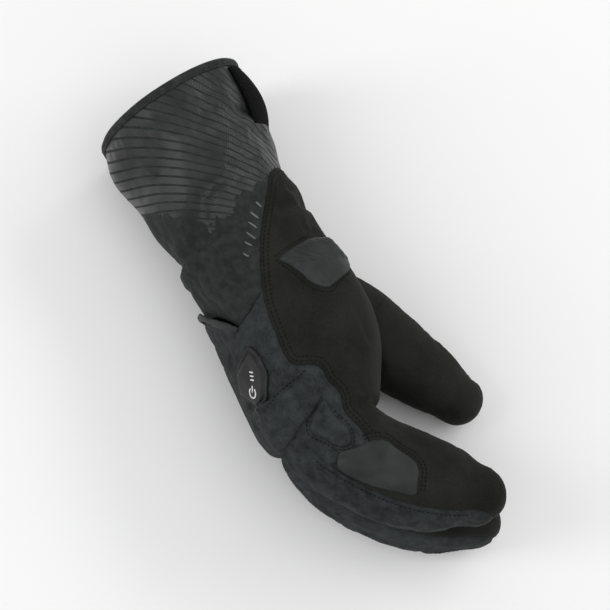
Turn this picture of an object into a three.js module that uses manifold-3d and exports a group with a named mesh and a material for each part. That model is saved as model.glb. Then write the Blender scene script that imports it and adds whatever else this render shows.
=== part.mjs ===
// Heated winter glove for a left hand: a long cuff, two finger pouches and a thumb.
// It lies on its thumb side: fingers towards +X, palm towards +Y, little finger up.
// All lengths are in millimetres. The floor is z = 0 and the cuff's rim is near x = 0
// until the last step, which puts the origin under the middle of the hand.
import * as THREE from "three";
import { mergeVertices } from "three/addons/utils/BufferGeometryUtils.js";
import Module from "manifold-3d";

const wasm = await Module();
wasm.setup();

// Main sizes of the glove
const cuff_length = 100; // rim to the elastic at the wrist
const cuff_width = 100; // across the rim, little finger side to thumb side
const cuff_depth = 96; // across the rim, back to palm
const hand_length = 122; // elastic at the wrist to the fork between the pouches
const hand_width = 110; // across the knuckles
const hand_depth = 92; // back to palm through the ball of the thumb
const pouch_length = 125.5; // root inside the hand to the centre of the tip's dome
const pouch_width = 52; // one pouch, which holds two fingers
const pouch_thickness = 54; // back to palm at the root of the fingers
const inner_pouch_extra = 16.5; // the pouch of the index and middle fingers is longer
const thumb_length = 125; // root inside the palm to the centre of the tip's dome
const thumb_width = 48; // across the root, along z
const thumb_thickness = 54; // across the root, along the palm

// Walls, gaps and trims
const cuff_wall = 2.2;
const hand_wall = 3;
const sewing_gap = 0.3; // between pieces that are sewn edge to edge
const binding_rise = 1.3; // how far the rim's binding stands out from the cuff
const binding_width = 6;
const rim_slant = 14; // the rim reaches further up the arm on the palm side
const pocket_rise = 3.4; // how far the back panel stands off at the pocket's mouth
const pocket_binding_width = 4;
const pocket_binding_rise = 1.4;
const patch_thickness = 3.4; // padded patch on the heel of the hand
const button_thickness = 3; // rubber cover of the heating switch
const band_thickness = 1.6; // panel across the knuckles
const insert_thickness = 1.2; // smooth insert on the side of the outer pouch
const loop_width = 24; // webbing loop on the palm side of the cuff
const loop_length = 32;
const loop_rise = 5;
const loop_thickness = 1.8;
const loop_start = 7; // rim to the loop's first seam
const gather_depth = 1.6; // ripples that the elastic pulls in at the wrist
const gather_count = 9;
const gather_reach = 14; // half the length over which the ripples fade

// How the long forms are divided into flat faces
const body_sides = 36;
const finger_sides = 20;
const cuff_steps = 9;
const wrist_steps = 4;
const hand_steps = 11;
const pouch_steps = 10;
const thumb_steps = 9;
const dome_steps = 3;

const wrist_x = cuff_length;
const fork_x = cuff_length + hand_length;
const middle_z = hand_width / 2 - 2; // height of the hand's middle over the floor
const tall = 2 * hand_width; // longer than anything that is cut
const palm_start_x = 0.5 * cuff_length; // the hand's lining starts here, inside the cuff

// Cuff sections. Columns: place as a share of cuff_length, shift to the palm and depth as
// shares of cuff_depth, width as a share of cuff_width, squareness of the oval.
const cuff_sections = [
  [-0.08, -0.025, 0.985, 1.0, 2.1],
  [0.0, -0.02, 0.986, 1.0, 2.1],
  [0.2, -0.026, 1.0, 1.0, 2.1],
  [0.4, -0.004, 0.952, 0.98, 2.1],
  [0.6, 0.01, 0.906, 0.95, 2.1],
  [0.8, 0.025, 0.89, 0.92, 2.1],
  [1.0, 0.042, 0.862, 0.88, 2.1],
];

// Hand sections. Columns: place as a share of hand_length, shift to the palm and depth as
// shares of hand_depth, width as a share of hand_width, squareness of the oval.
const hand_sections = [
  [0.0, 0.044, 0.9, 0.8, 2.1],
  [0.12, 0.062, 0.89, 0.8, 2.1],
  [0.26, 0.082, 0.93, 0.85, 2.2],
  [0.42, 0.1, 0.94, 0.91, 2.2],
  [0.58, 0.09, 0.94, 0.96, 2.3],
  [0.74, 0.054, 0.895, 1.0, 2.4],
  [0.88, 0.012, 0.81, 1.0, 2.4],
  [1.0, -0.012, 0.72, 0.97, 2.4],
];

// Pouch of the ring and little fingers. Columns: place as a share of its length, heading in
// degrees from +X to the palm, thickness and width as shares, height of the middle in widths.
const outer_pouch_bends = [
  [0.0, 4, 0.98, 0.98, 0.51],
  [0.24, 20, 1.04, 1.0, 0.515],
  [0.5, 38, 1.0, 1.0, 0.52],
  [0.72, 49, 0.98, 0.98, 0.52],
  [0.88, 52, 0.84, 0.9, 0.515],
  [1.0, 53, 0.62, 0.76, 0.51],
];
const outer_pouch_start = [-0.22, -0.125]; // shares of hand_length and hand_depth

// Pouch of the index and middle fingers, with the same columns.
const inner_pouch_bends = [
  [0.0, -8, 0.8, 0.98, -0.54],
  [0.2, -2, 0.82, 1.0, -0.54],
  [0.36, 24, 0.82, 1.0, -0.54],
  [0.6, 40, 0.8, 0.99, -0.54],
  [0.82, 54, 0.74, 0.93, -0.54],
  [1.0, 65, 0.58, 0.78, -0.53],
];
const inner_pouch_start = [-0.22, -0.03];

// Thumb. Columns: place as a share of its length, heading in degrees, thickness and width as
// shares, height of its middle over the hand's middle in thumb widths.
const thumb_bends = [
  [0.0, 60, 0.9, 1.0, -0.4],
  [0.2, 47, 1.06, 1.1, -0.48],
  [0.4, 36, 1.02, 1.04, -0.54],
  [0.65, 34, 0.86, 0.88, -0.6],
  [0.84, 32, 0.74, 0.8, -0.68],
  [1.0, 31, 0.58, 0.68, -0.74],
];
const thumb_start = [-0.705, 0.13];

// Seam between the cuff and the palm panel, then between back and palm panels. Columns:
// shares of the body's length from the rim to the fork, and of hand_depth.
const side_seam = [
  [0.288, 0.978],
  [0.293, 0.543],
  [0.321, 0.335],
  [0.368, 0.247],
  [0.456, 0.098],
  [0.543, -0.013],
  [0.615, -0.08],
  [0.662, -0.107],
  [0.731, -0.124],
  [0.82, -0.126],
  [0.858, 0.016],
  [0.904, 0.033],
  [0.944, 0.07],
  [1.03, 0.085],
  [1.2, 0.13],
];
const pocket_corner = [0.675, -0.308];
const pocket_middle = [0.572, -0.457];
const pouch_seam_share = -0.64; // place of a pouch's seam, in half thicknesses

// Outline of the padded patch on the heel of the hand, in the same shares.
const patch_outline = [
  [0.594, 0.149],
  [0.555, 0.099],
  [0.538, 0.239],
  [0.527, 0.391],
  [0.523, 0.902],
  [0.622, 0.902],
  [0.644, 0.522],
  [0.667, 0.382],
  [0.683, 0.307],
  [0.657, 0.215],
];
const band_low = 1; // the knuckle panel stops this far over the floor
const patch_low = -0.12; // its lower edge over the hand's middle, in hand widths

// Outline of the switch cover. Columns: share of the body's length, and share of hand_width
// from the middle of the cover across the back of the hand.
const button_outline = [
  [0.726, 0.099],
  [0.818, 0.138],
  [0.878, 0.078],
  [0.899, 0.006],
  [0.831, -0.144],
  [0.77, -0.092],
];
const button_tilt = 37; // degrees from facing straight back to facing up
const button_middle = 0.028; // place of its middle along the tilted face, in hand widths

// Outline of the panel across the knuckles.
const band_outline = [
  [0.866, -0.071],
  [0.888, -0.257],
  [0.905, -0.37],
  [0.905, -0.902],
  [1.0, -0.902],
  [1.002, -0.337],
  [0.979, -0.228],
  [0.957, -0.129],
  [0.938, -0.053],
  [0.901, -0.027],
];

// Outline of the smooth insert. Columns: share of the pouch's length, and place across it in
// half thicknesses.
const insert_outline = [
  [0.33, -0.58],
  [0.34, 0.08],
  [0.46, 0.12],
  [0.56, 0.1],
  [0.64, -0.04],
  [0.68, -0.24],
  [0.69, -0.58],
  [0.5, -0.58],
];

// A smooth curve through the rows of a table, read at any place in its first column.
function table_reader(rows) {
  const columns = rows[0].length - 1;
  const places = rows.map((row) => row[0]);
  const values = rows.flatMap((row) => row.slice(1));
  const spline = new THREE.CubicInterpolant(places, values, columns, new Array(columns));
  return (place) => [...spline.evaluate(place)];
}

const read_cuff = table_reader(cuff_sections);
const read_hand = table_reader(hand_sections);

function round_power(value, power) {
  return Math.sign(value) * Math.abs(value) ** (2 / power);
}

// Ripples run along the arm around the wrist's elastic.
function gather(x, angle) {
  const fade = Math.exp(-(((x - wrist_x - 6) / gather_reach) ** 2));
  return gather_depth * fade * Math.cos(gather_count * angle);
}

// The mouth of the pocket stands off the back of the hand and flattens towards the knuckles.
function pocket_swell(x, angle) {
  const along = 1 - THREE.MathUtils.smoothstep(x, wrist_x + 0.4 * hand_length, fork_x - 20);
  const around = THREE.MathUtils.smoothstep(-Math.cos(angle), 0.5, 0.95);
  return pocket_rise * along * around;
}

// One closed section of the cuff or hand at x, grown outwards by growth.
function body_ring(x, growth, is_hand) {
  const share = is_hand ? (x - wrist_x) / hand_length : x / cuff_length;
  const across = is_hand ? hand_width : cuff_width;
  const deep = is_hand ? hand_depth : cuff_depth;
  const [shift, depth, width, power] = is_hand ? read_hand(share) : read_cuff(share);
  const lowest = is_hand ? -growth : binding_rise - growth;
  const centre_z = is_hand ? middle_z : cuff_width / 2 - 2 + binding_rise;
  const ring = [];
  for (let side = 0; side < body_sides; side += 1) {
    const angle = (2 * Math.PI * side) / body_sides;
    const extra = growth + gather(x, angle) + (is_hand ? pocket_swell(x, angle) : 0);
    const y = shift * deep + round_power(Math.cos(angle), power) * ((depth * deep) / 2 + extra);
    const z = centre_z + round_power(Math.sin(angle), power) * ((width * across) / 2 + extra);
    const slant = is_hand ? 0 : rim_slant * (1 - THREE.MathUtils.smoothstep(x, 0, palm_start_x));
    ring.push(new THREE.Vector3(x - (slant * y) / cuff_depth, y, Math.max(z, lowest)));
  }
  return ring;
}

// The path of a finger: places, headings and half sizes worked out step by step.
function finger_path(bends, start, length, thickness, width, centre_step, steps) {
  const read = table_reader(bends);
  const path = [];
  let x = fork_x + start[0] * hand_length;
  let y = start[1] * hand_depth;
  for (let step = 0; step <= steps; step += 1) {
    const [degrees, thick, wide, height] = read(step / steps);
    const heading = THREE.MathUtils.degToRad(degrees);
    if (step > 0) {
      x += (Math.cos(heading) * length) / steps;
      y += (Math.sin(heading) * length) / steps;
    }
    const z = middle_z + height * centre_step;
    path.push({ x, y, z, heading, thick: (thick * thickness) / 2, wide: (wide * width) / 2 });
  }
  return path;
}

// One closed section of a finger, square to its path.
function finger_ring(at, advance, shrink, growth) {
  const ring = [];
  const along = new THREE.Vector3(Math.cos(at.heading), Math.sin(at.heading), 0);
  const across = new THREE.Vector3(-Math.sin(at.heading), Math.cos(at.heading), 0);
  for (let side = 0; side < finger_sides; side += 1) {
    const angle = (2 * Math.PI * side) / finger_sides;
    const point = new THREE.Vector3(at.x, at.y, at.z);
    point.addScaledVector(along, advance);
    point.addScaledVector(across, round_power(Math.cos(angle), 2.3) * (at.thick + growth) * shrink);
    point.z += round_power(Math.sin(angle), 2.3) * (at.wide + growth) * shrink;
    point.z = Math.max(point.z, -growth);
    ring.push(point);
  }
  return ring;
}

function finger_solid(path, growth) {
  const rings = path.map((at) => finger_ring(at, 0, 1, growth));
  const tip = path[path.length - 1];
  for (let step = 1; step <= dome_steps; step += 1) {
    const turn = (0.47 * Math.PI * step) / dome_steps;
    rings.push(finger_ring(tip, (tip.thick + growth) * Math.sin(turn), Math.cos(turn), growth));
  }
  return loft(rings);
}

function solid_from(vertices, triangles) {
  const mesh = new wasm.Mesh({
    numProp: 3,
    vertProperties: new Float32Array(vertices),
    triVerts: new Uint32Array(triangles),
  });
  mesh.merge();
  return new wasm.Manifold(mesh);
}

// A closed skin over a row of rings, with a fan at each end.
function loft(rings) {
  const count = rings[0].length;
  const points = rings.flat();
  const triangles = [];
  for (let row = 0; row < rings.length - 1; row += 1) {
    for (let side = 0; side < count; side += 1) {
      const near = row * count + side;
      const next = row * count + ((side + 1) % count);
      triangles.push(near, next, next + count, near, next + count, near + count);
    }
  }
  for (const [row, flip] of [[0, true], [rings.length - 1, false]]) {
    const hub = points.length;
    const middle = new THREE.Vector3();
    rings[row].forEach((point) => middle.addScaledVector(point, 1 / count));
    points.push(middle);
    for (let side = 0; side < count; side += 1) {
      const near = row * count + side;
      const next = row * count + ((side + 1) % count);
      triangles.push(...(flip ? [hub, next, near] : [hub, near, next]));
    }
  }
  return solid_from(points.flatMap((point) => point.toArray()), triangles);
}

// A straight block over an outline in x and y, from one height to another.
function prism(outline, low, high) {
  const shape = new THREE.Shape(outline.map(([x, y]) => new THREE.Vector2(x, y)));
  const block = new THREE.ExtrudeGeometry(shape, { depth: high - low, bevelEnabled: false });
  block.translate(0, 0, low);
  return solid_from_geometry(block);
}

function solid_from_geometry(geometry) {
  geometry.deleteAttribute("normal");
  geometry.deleteAttribute("uv");
  const merged = mergeVertices(geometry, 1e-4);
  return solid_from(merged.attributes.position.array, merged.index.array);
}

// The same line moved sideways, to the left of its direction for a positive distance.
function moved_line(line, distance) {
  return line.map(([x, y], index) => {
    const before = line[Math.max(index - 1, 0)];
    const after = line[Math.min(index + 1, line.length - 1)];
    const run = Math.hypot(after[0] - before[0], after[1] - before[1]);
    const left = [-(after[1] - before[1]) / run, (after[0] - before[0]) / run];
    return [x + left[0] * distance, y + left[1] * distance];
  });
}

function body_point([along, across]) {
  return [along * fork_x, across * hand_depth];
}

function steps_between(first, last, count) {
  return Array.from({ length: count + 1 }, (_, step) => first + ((last - first) * step) / count);
}

function cuff_solid(growth, first, last, steps) {
  return loft(steps_between(first, last, steps).map((x) => body_ring(x, growth, false)));
}

// The palm panel starts on the cuff, and the hand ends in a low dome between the pouches.
function hand_solid(growth, first) {
  const rings = [
    ...steps_between(first, wrist_x - 6, wrist_steps).map((x) => body_ring(x, growth, false)),
    ...steps_between(wrist_x, fork_x - 6, hand_steps).map((x) => body_ring(x, growth, true)),
  ];
  const edge = rings[rings.length - 1];
  const middle = new THREE.Vector3(fork_x - 6, -2, middle_z);
  for (let step = 1; step <= dome_steps; step += 1) {
    const turn = (0.44 * Math.PI * step) / dome_steps;
    rings.push(edge.map((point) => {
      const placed = middle.clone().lerp(point, Math.cos(turn));
      placed.x += (14 + growth) * Math.sin(turn);
      return placed;
    }));
  }
  return loft(rings);
}

const outer_path = finger_path(
  outer_pouch_bends, outer_pouch_start, pouch_length, pouch_thickness, pouch_width, pouch_width,
  pouch_steps,
);
const inner_path = finger_path(
  inner_pouch_bends, inner_pouch_start, pouch_length + inner_pouch_extra, pouch_thickness,
  pouch_width, pouch_width, pouch_steps,
);
const thumb_path = finger_path(
  thumb_bends, thumb_start, thumb_length, thumb_thickness, thumb_width, thumb_width, thumb_steps,
);

// Hand, pouches and thumb as one closed form, grown or shrunk by growth
function hand_form(growth, first) {
  return hand_solid(growth, first)
    .add(finger_solid(outer_path, growth))
    .add(finger_solid(inner_path, growth));
}

const hand_skin = hand_form(0, palm_start_x);
const hand_hollow = hand_form(-hand_wall, palm_start_x - 5);
const thumb_skin = finger_solid(thumb_path, 0);
const thumb_hollow = finger_solid(thumb_path, -hand_wall);
const hand_shell = hand_skin.subtract(hand_hollow).subtract(thumb_hollow);

// Regions seen from above, which cut the shells into sewn panels
const seam_line = side_seam.map(body_point);
const cuff_end = [body_point(pocket_middle), body_point(pocket_corner)];
const seam_meet = 6; // row of side_seam where the cuff's own edge leaves it

function cuff_region(distance) {
  const edge = [
    [cuff_end[0][0], -tall],
    ...cuff_end,
    ...seam_line.slice(0, seam_meet + 1).reverse(),
  ];
  const moved = moved_line(edge, distance);
  moved[moved.length - 1][1] = tall;
  return prism([[-tall, -tall], ...moved, [-tall, tall]], -tall, tall);
}

function palm_region(distance) {
  const edge = moved_line(seam_line, distance);
  return prism([...edge, [edge[edge.length - 1][0], tall], [edge[0][0], tall]], -tall, tall);
}

function pouch_seam(path) {
  const edge = path.map((at) => {
    const across = pouch_seam_share * at.thick;
    return [at.x - Math.sin(at.heading) * across, at.y + Math.cos(at.heading) * across];
  });
  const tip = path[path.length - 1];
  const last = edge[edge.length - 1];
  edge.push([last[0] + Math.cos(tip.heading) * tall, last[1] + Math.sin(tip.heading) * tall]);
  return edge;
}

function pouch_palm_region(path, distance) {
  const edge = moved_line(pouch_seam(path), distance);
  return prism([...edge, [-tall, tall * 2], [-tall, edge[0][1]]], -tall, tall);
}

const half_gap = sewing_gap / 2;
const before_fork_outline = [
  [-tall, -tall], [fork_x - half_gap, -tall], [fork_x - half_gap, tall], [-tall, tall],
];
const before_fork = prism(before_fork_outline, -tall, tall);
const past_fork_outline = [
  [fork_x + half_gap, -tall], [3 * tall, -tall], [3 * tall, tall], [fork_x + half_gap, tall],
];
const upper_block = prism(past_fork_outline, middle_z + half_gap, tall);
const lower_block = prism(past_fork_outline, -tall, middle_z - half_gap);

const hand_panels = hand_shell.intersect(before_fork).subtract(cuff_region(-half_gap));
const palm_panel = hand_panels.intersect(palm_region(half_gap));
const back_panel = hand_panels.subtract(palm_region(-half_gap));
const outer_pouch = hand_shell.intersect(upper_block);
const inner_pouch = hand_shell.intersect(lower_block);
const outer_pouch_palm = outer_pouch.intersect(pouch_palm_region(outer_path, half_gap));
const outer_pouch_back = outer_pouch.subtract(pouch_palm_region(outer_path, -half_gap));
const inner_pouch_palm = inner_pouch.intersect(pouch_palm_region(inner_path, half_gap));
const inner_pouch_back = inner_pouch.subtract(pouch_palm_region(inner_path, -half_gap));
const thumb = thumb_skin.subtract(thumb_hollow).subtract(hand_form(sewing_gap, palm_start_x));

// Cuff with its binding folded over the rim
const rim_seat = 1.5; // the cuff's edge lies this far inside the binding
const cuff_skin = cuff_solid(0, rim_seat, wrist_x + 44, cuff_steps);
const cuff_bore = cuff_solid(-cuff_wall, -5, wrist_x + 50, cuff_steps);
const cuff = cuff_skin.subtract(cuff_bore).intersect(cuff_region(half_gap));
const binding_outside = cuff_solid(binding_rise, 0, binding_width, 1);
const binding_inside = cuff_solid(-cuff_wall - binding_rise, -1, binding_width + 1, 1);
const edge_room = cuff_solid(sewing_gap, rim_seat - sewing_gap, binding_width + 2, 1)
  .subtract(cuff_solid(-cuff_wall - sewing_gap, 0, binding_width + 3, 1));
const cuff_binding = binding_outside.subtract(binding_inside).subtract(edge_room);

// A patch that follows the form below it: a grown skin less the form with its gap
const patch_seat = hand_form(sewing_gap, palm_start_x).add(finger_solid(thumb_path, sewing_gap));

function hand_layer(thickness) {
  return hand_solid(sewing_gap + thickness, palm_start_x).subtract(patch_seat);
}

const heel_patch = hand_layer(patch_thickness).intersect(
  prism(patch_outline.map(body_point), middle_z + patch_low * hand_width, tall),
);
// The largest body of a cut layer, without the slivers that a bulge below it leaves
function main_body(solid) {
  return solid.decompose().sort((a, b) => b.volume() - a.volume())[0];
}

const knuckle_band = main_body(
  hand_layer(band_thickness)
    .intersect(prism(band_outline.map(body_point), band_low, tall))
    .subtract(palm_region(-1)),
);

// The switch cover is cut square to the corner of the hand that it sits on.
function button_block() {
  const outline = button_outline.map(([along, across]) => new THREE.Vector2(
    along * fork_x, (across + button_middle) * hand_width,
  ));
  const shape = new THREE.Shape(outline);
  const block = new THREE.ExtrudeGeometry(shape, { depth: tall, bevelEnabled: false });
  block.rotateX(THREE.MathUtils.degToRad(90 - button_tilt));
  block.translate(0, 0, middle_z);
  return solid_from_geometry(block);
}

const power_button = hand_layer(button_thickness).intersect(button_block());

// The pocket's bound edge follows the mouth of the pocket.
const pocket_edge = [
  [cuff_end[0][0], -tall], cuff_end[0], cuff_end[1],
  [cuff_end[1][0] + pocket_binding_width, cuff_end[1][1]],
  [cuff_end[0][0] + pocket_binding_width, cuff_end[0][1]],
  [cuff_end[0][0] + pocket_binding_width, -tall],
];
const pocket_binding = hand_layer(pocket_binding_rise).intersect(prism(pocket_edge, -tall, tall));

// Smooth insert on the outer pouch, placed along its path
function pouch_point([along, across]) {
  const place = along * pouch_steps;
  const first = outer_path[Math.floor(place)];
  const second = outer_path[Math.min(Math.floor(place) + 1, pouch_steps)];
  const mix = place - Math.floor(place);
  const half = THREE.MathUtils.lerp(first.thick, second.thick, mix) * across;
  const heading = THREE.MathUtils.lerp(first.heading, second.heading, mix);
  return [
    THREE.MathUtils.lerp(first.x, second.x, mix) - Math.sin(heading) * half,
    THREE.MathUtils.lerp(first.y, second.y, mix) + Math.cos(heading) * half,
  ];
}

const finger_insert = finger_solid(outer_path, sewing_gap + insert_thickness)
  .subtract(patch_seat)
  .intersect(prism(insert_outline.map(pouch_point), middle_z + 0.6 * pouch_width, tall));

// Webbing loop that arches off the palm side of the cuff
function loop_skin(lift) {
  const rings = steps_between(loop_start, loop_start + loop_length, 8).map((x) => {
    const arch = Math.sin((Math.PI * (x - loop_start)) / loop_length) ** 0.8;
    return body_ring(x, sewing_gap + loop_rise * arch + lift, false);
  });
  return loft(rings);
}

const loop_low = middle_z;
const loop_seat = loop_skin(0).add(cuff_solid(sewing_gap, rim_seat, palm_start_x, cuff_steps));
const cuff_loop = loop_skin(loop_thickness).subtract(loop_seat).intersect(
  prism([[-tall, 0], [tall, 0], [tall, tall], [-tall, tall]], loop_low, loop_low + loop_width),
);

const glove = new THREE.Group();

// One named mesh for each piece, with the colour and finish of its cloth
function piece(name, solid, color, roughness) {
  const { vertProperties, triVerts } = solid.getMesh();
  const geometry = new THREE.BufferGeometry();
  geometry.setAttribute("position", new THREE.BufferAttribute(new Float32Array(vertProperties), 3));
  geometry.setIndex(new THREE.BufferAttribute(new Uint32Array(triVerts), 1));
  const material = new THREE.MeshStandardMaterial({ color, roughness, metalness: 0 });
  const mesh = new THREE.Mesh(geometry, material);
  mesh.name = name;
  glove.add(mesh);
}

const softshell = 0x17191a;
const suede = 0x14130f;
const printed_cloth = 0x1c1d1e;
const smooth_grey = 0x26282a;
const rubber = 0x18191a;
const webbing = 0x0c0c0c;

piece("cuff", cuff, printed_cloth, 0.45);
piece("cuff_binding", cuff_binding, webbing, 0.7);
piece("cuff_loop", cuff_loop, webbing, 0.85);
piece("palm_panel", palm_panel, suede, 0.95);
piece("back_panel", back_panel, softshell, 0.85);
piece("pocket_binding", pocket_binding, smooth_grey, 0.5);
piece("knuckle_band", knuckle_band, softshell, 0.85);
piece("outer_pouch_palm", outer_pouch_palm, suede, 0.95);
piece("outer_pouch_back", outer_pouch_back, softshell, 0.85);
piece("inner_pouch_palm", inner_pouch_palm, suede, 0.95);
piece("inner_pouch_back", inner_pouch_back, softshell, 0.85);
piece("finger_insert", finger_insert, smooth_grey, 0.6);
piece("thumb", thumb, suede, 0.95);
piece("heel_patch", heel_patch, smooth_grey, 0.5);
piece("power_button", power_button, rubber, 0.55);

// The origin is the middle of the flat that the hand rests on.
const rest_share = 0.72;
glove.position.set(-(wrist_x + rest_share * hand_length), 0, 0);

export default glove;
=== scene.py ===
"""Looks of a padded winter glove with a heating switch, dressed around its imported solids.

Lengths in the tables are in millimetres: x from the cuff's rim to the fingertips, y out of the
palm, z up from the floor. Every finished mesh is in metres in the frame of the solids.
"""

import math

import bmesh
import bpy
import numpy as np
from mathutils import Matrix, Vector, kdtree
from mathutils.bvhtree import BVHTree


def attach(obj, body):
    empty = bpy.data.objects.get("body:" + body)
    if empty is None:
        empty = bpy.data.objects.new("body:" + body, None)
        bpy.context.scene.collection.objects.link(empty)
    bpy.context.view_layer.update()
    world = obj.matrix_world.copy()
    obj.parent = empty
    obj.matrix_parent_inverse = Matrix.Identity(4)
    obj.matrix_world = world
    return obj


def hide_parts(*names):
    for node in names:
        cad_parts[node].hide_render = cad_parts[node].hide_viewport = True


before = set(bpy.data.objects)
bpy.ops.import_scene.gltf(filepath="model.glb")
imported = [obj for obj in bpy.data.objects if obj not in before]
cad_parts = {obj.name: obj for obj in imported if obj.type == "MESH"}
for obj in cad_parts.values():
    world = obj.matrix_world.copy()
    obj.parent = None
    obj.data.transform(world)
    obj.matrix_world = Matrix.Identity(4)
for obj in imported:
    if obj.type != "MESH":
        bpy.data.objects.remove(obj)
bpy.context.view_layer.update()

bl_info = {
    "name": "Winter glove",
    "version": (1, 0, 0),
    "blender": (4, 5, 0),
    "location": "View3D > Sidebar > Glove",
    "description": "Builds the cloth, trims and stitching of a padded winter glove",
    "category": "Object",
}

MM = 0.001
ORIGIN_X = 187.84  # the rim is this far behind the origin
WRIST_X = 100.0
FORK_X = 222.0
CUFF_LENGTH = 100.0
CUFF_WIDTH = 100.0
CUFF_DEPTH = 96.0
HAND_LENGTH = 122.0
HAND_WIDTH = 110.0
HAND_DEPTH = 92.0
MIDDLE_Z = 53.0
CUFF_Z = 49.3
RIM_SLANT = 14.0
FINGER_POWER = 2.3
POUCH_WIDTH = 52.0
POUCH_THICKNESS = 54.0
THUMB_WIDTH = 48.0
THUMB_THICKNESS = 54.0
TALL = 260.0

# Cuff: share of its length, shift and depth as shares of its depth, width, squareness
CUFF_ROWS = [
    (-0.08, -0.025, 0.985, 1.0, 2.1),
    (0.0, -0.02, 0.986, 1.0, 2.1),
    (0.2, -0.026, 1.0, 1.0, 2.1),
    (0.4, -0.004, 0.952, 0.98, 2.1),
    (0.6, 0.01, 0.906, 0.95, 2.1),
    (0.8, 0.025, 0.89, 0.92, 2.1),
    (1.0, 0.042, 0.862, 0.88, 2.1),
]
# Hand: the same columns, as shares of the hand's length, depth and width
HAND_ROWS = [
    (0.0, 0.044, 0.9, 0.8, 2.1),
    (0.12, 0.062, 0.89, 0.8, 2.1),
    (0.26, 0.082, 0.93, 0.85, 2.2),
    (0.42, 0.1, 0.94, 0.91, 2.2),
    (0.58, 0.09, 0.94, 0.96, 2.3),
    (0.74, 0.054, 0.895, 1.0, 2.4),
    (0.88, 0.012, 0.81, 1.0, 2.4),
    (1.0, -0.012, 0.72, 0.97, 2.4),
]
# Fingers: share of the length, heading in degrees, thickness, width, height of the middle
OUTER_ROWS = [
    (0.0, 4, 0.98, 0.98, 0.51),
    (0.24, 20, 1.04, 1.0, 0.515),
    (0.5, 38, 1.0, 1.0, 0.52),
    (0.72, 49, 0.98, 0.98, 0.52),
    (0.88, 52, 0.84, 0.9, 0.515),
    (1.0, 53, 0.62, 0.76, 0.51),
]
INNER_ROWS = [
    (0.0, -8, 0.8, 0.98, -0.54),
    (0.2, -2, 0.82, 1.0, -0.54),
    (0.36, 24, 0.82, 1.0, -0.54),
    (0.6, 40, 0.8, 0.99, -0.54),
    (0.82, 54, 0.74, 0.93, -0.54),
    (1.0, 65, 0.58, 0.78, -0.53),
]
THUMB_ROWS = [
    (0.0, 60, 0.9, 1.0, -0.4),
    (0.2, 47, 1.06, 1.1, -0.48),
    (0.4, 36, 1.02, 1.04, -0.54),
    (0.65, 34, 0.86, 0.88, -0.6),
    (0.84, 32, 0.74, 0.8, -0.68),
    (1.0, 31, 0.58, 0.68, -0.74),
]
# Seam between the palm and the cuff, then between the palm and the back, in x and y
SIDE_SEAM = [
    (64.0, 90.0), (65.0, 50.0), (71.3, 30.8), (81.7, 22.7), (101.2, 9.0), (111.4, 3.1),
    (120.6, -1.2), (136.5, -7.4), (147.0, -9.8), (162.2, -11.4), (182.0, -11.6), (190.5, 1.5),
    (200.7, 3.0), (209.6, 6.4), (219.8, 5.1), (228.6, 7.8), (240.0, 10.0), (266.4, 12.0),
]
SEAM_MEET = 7
POCKET_MIDDLE = (127.0, -42.0)
POCKET_CORNER = (149.9, -28.3)
POUCH_SEAM_SHARE = -0.64
TAB_X = 244.5  # the softshell reaches this far on the little finger's side

# Fingers: where each leaves the hand, as shares of the hand's length and depth, and its length
FINGER_STEPS = 40
OUTER_START = (-0.22, -0.125)
OUTER_LENGTH = 125.5
INNER_START = (-0.22, -0.03)
INNER_LENGTH = 142.0
THUMB_START = (-0.705, 0.13)
THUMB_LENGTH = 125.0
THUMB_SEAM_STEP = 15
THUMB_SEAM_TURN = 0.62
THUMB_TOP = 58

# Shell: its sections, the dome between the pouches, its voxels and its swelling
STATION_STEP = 2.5
DOME_X = FORK_X - 6
DOME_REACH = 14
FINE_VOXEL = 1.7
COARSE_VOXEL = 3.4
MOST_SWELL = 2.4
SHELL_START = 0.3
INNER_GROWTH = -0.6
CUFF_REACH = 175
RIM_EDGE = 3.0
# Gathers at the wrist: waves round the cuff, slant along it, start, share
RIPPLES = ((11, 0.09, 0, 1), (17, -0.13, 1.1, 0.7), (5, 0.2, 0, 0.5))
# Folds: line, depth, width
FOLDS = [
    ([(223.5, -33.0, 84), (223.9, -29.9, 92.9), (218.4, -21.0, 102.5),
      (208.3, -4.9, 107.3)], 2.6, 1.4),
    ([(239.0, -10.0, 104), (249.1, -10.2, 101), (258, -4, 101)], 2.6, 1.8),
    ([(147.4, 61.4, 38), (161.1, 58.7, 48), (174.6, 54.6, 50), (188.9, 50.1, 48),
      (203, 46, 42)], 1.2, 3.0),
    ([(239.8, 11.8, 105), (239.3, 21.3, 103), (238.8, 28.7, 99)], 1.0, 2.5),
    ([(128.0, -33.9, 66), (134, -29, 78), (141, -22, 88), (143, -15, 93)], 1.2, 2.4),
]
# Pads: middle, reach, height
PADS = [
    ((171, 42, 78), (26, 12, 22), 2.0),
    ((258, 15, 106), (20, 14, 8), 1.2),
]

# Settings of the simulated cloth, and how many frames it swells
CLOTH = {
    "quality": 5, "mass": 0.15, "tension_stiffness": 12, "compression_stiffness": 12,
    "shear_stiffness": 4, "bending_stiffness": 0.25, "use_pressure": True,
    "uniform_pressure_force": 2.5, "shrink_min": -0.035, "vertex_group_mass": "held",
    "pin_stiffness": 0.6,
}
CLOTH_FRAMES = 14
# How loose the cloth gets, and over which distances from the seams, the rim and the floor
LOOSEST = 0.94
SEAM_EASE = (1.5, 9)
RIM_EASE = (6, 22)
FLOOR_EASE = (0.5, 6)
# How much less the thumb swells, and over which distance from the seam at its root
THUMB_CALM = 0.7
THUMB_EASE = (10, 30)
SEAM_WIDTH = 1.3
SEAM_DEPTH = 1.0

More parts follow.
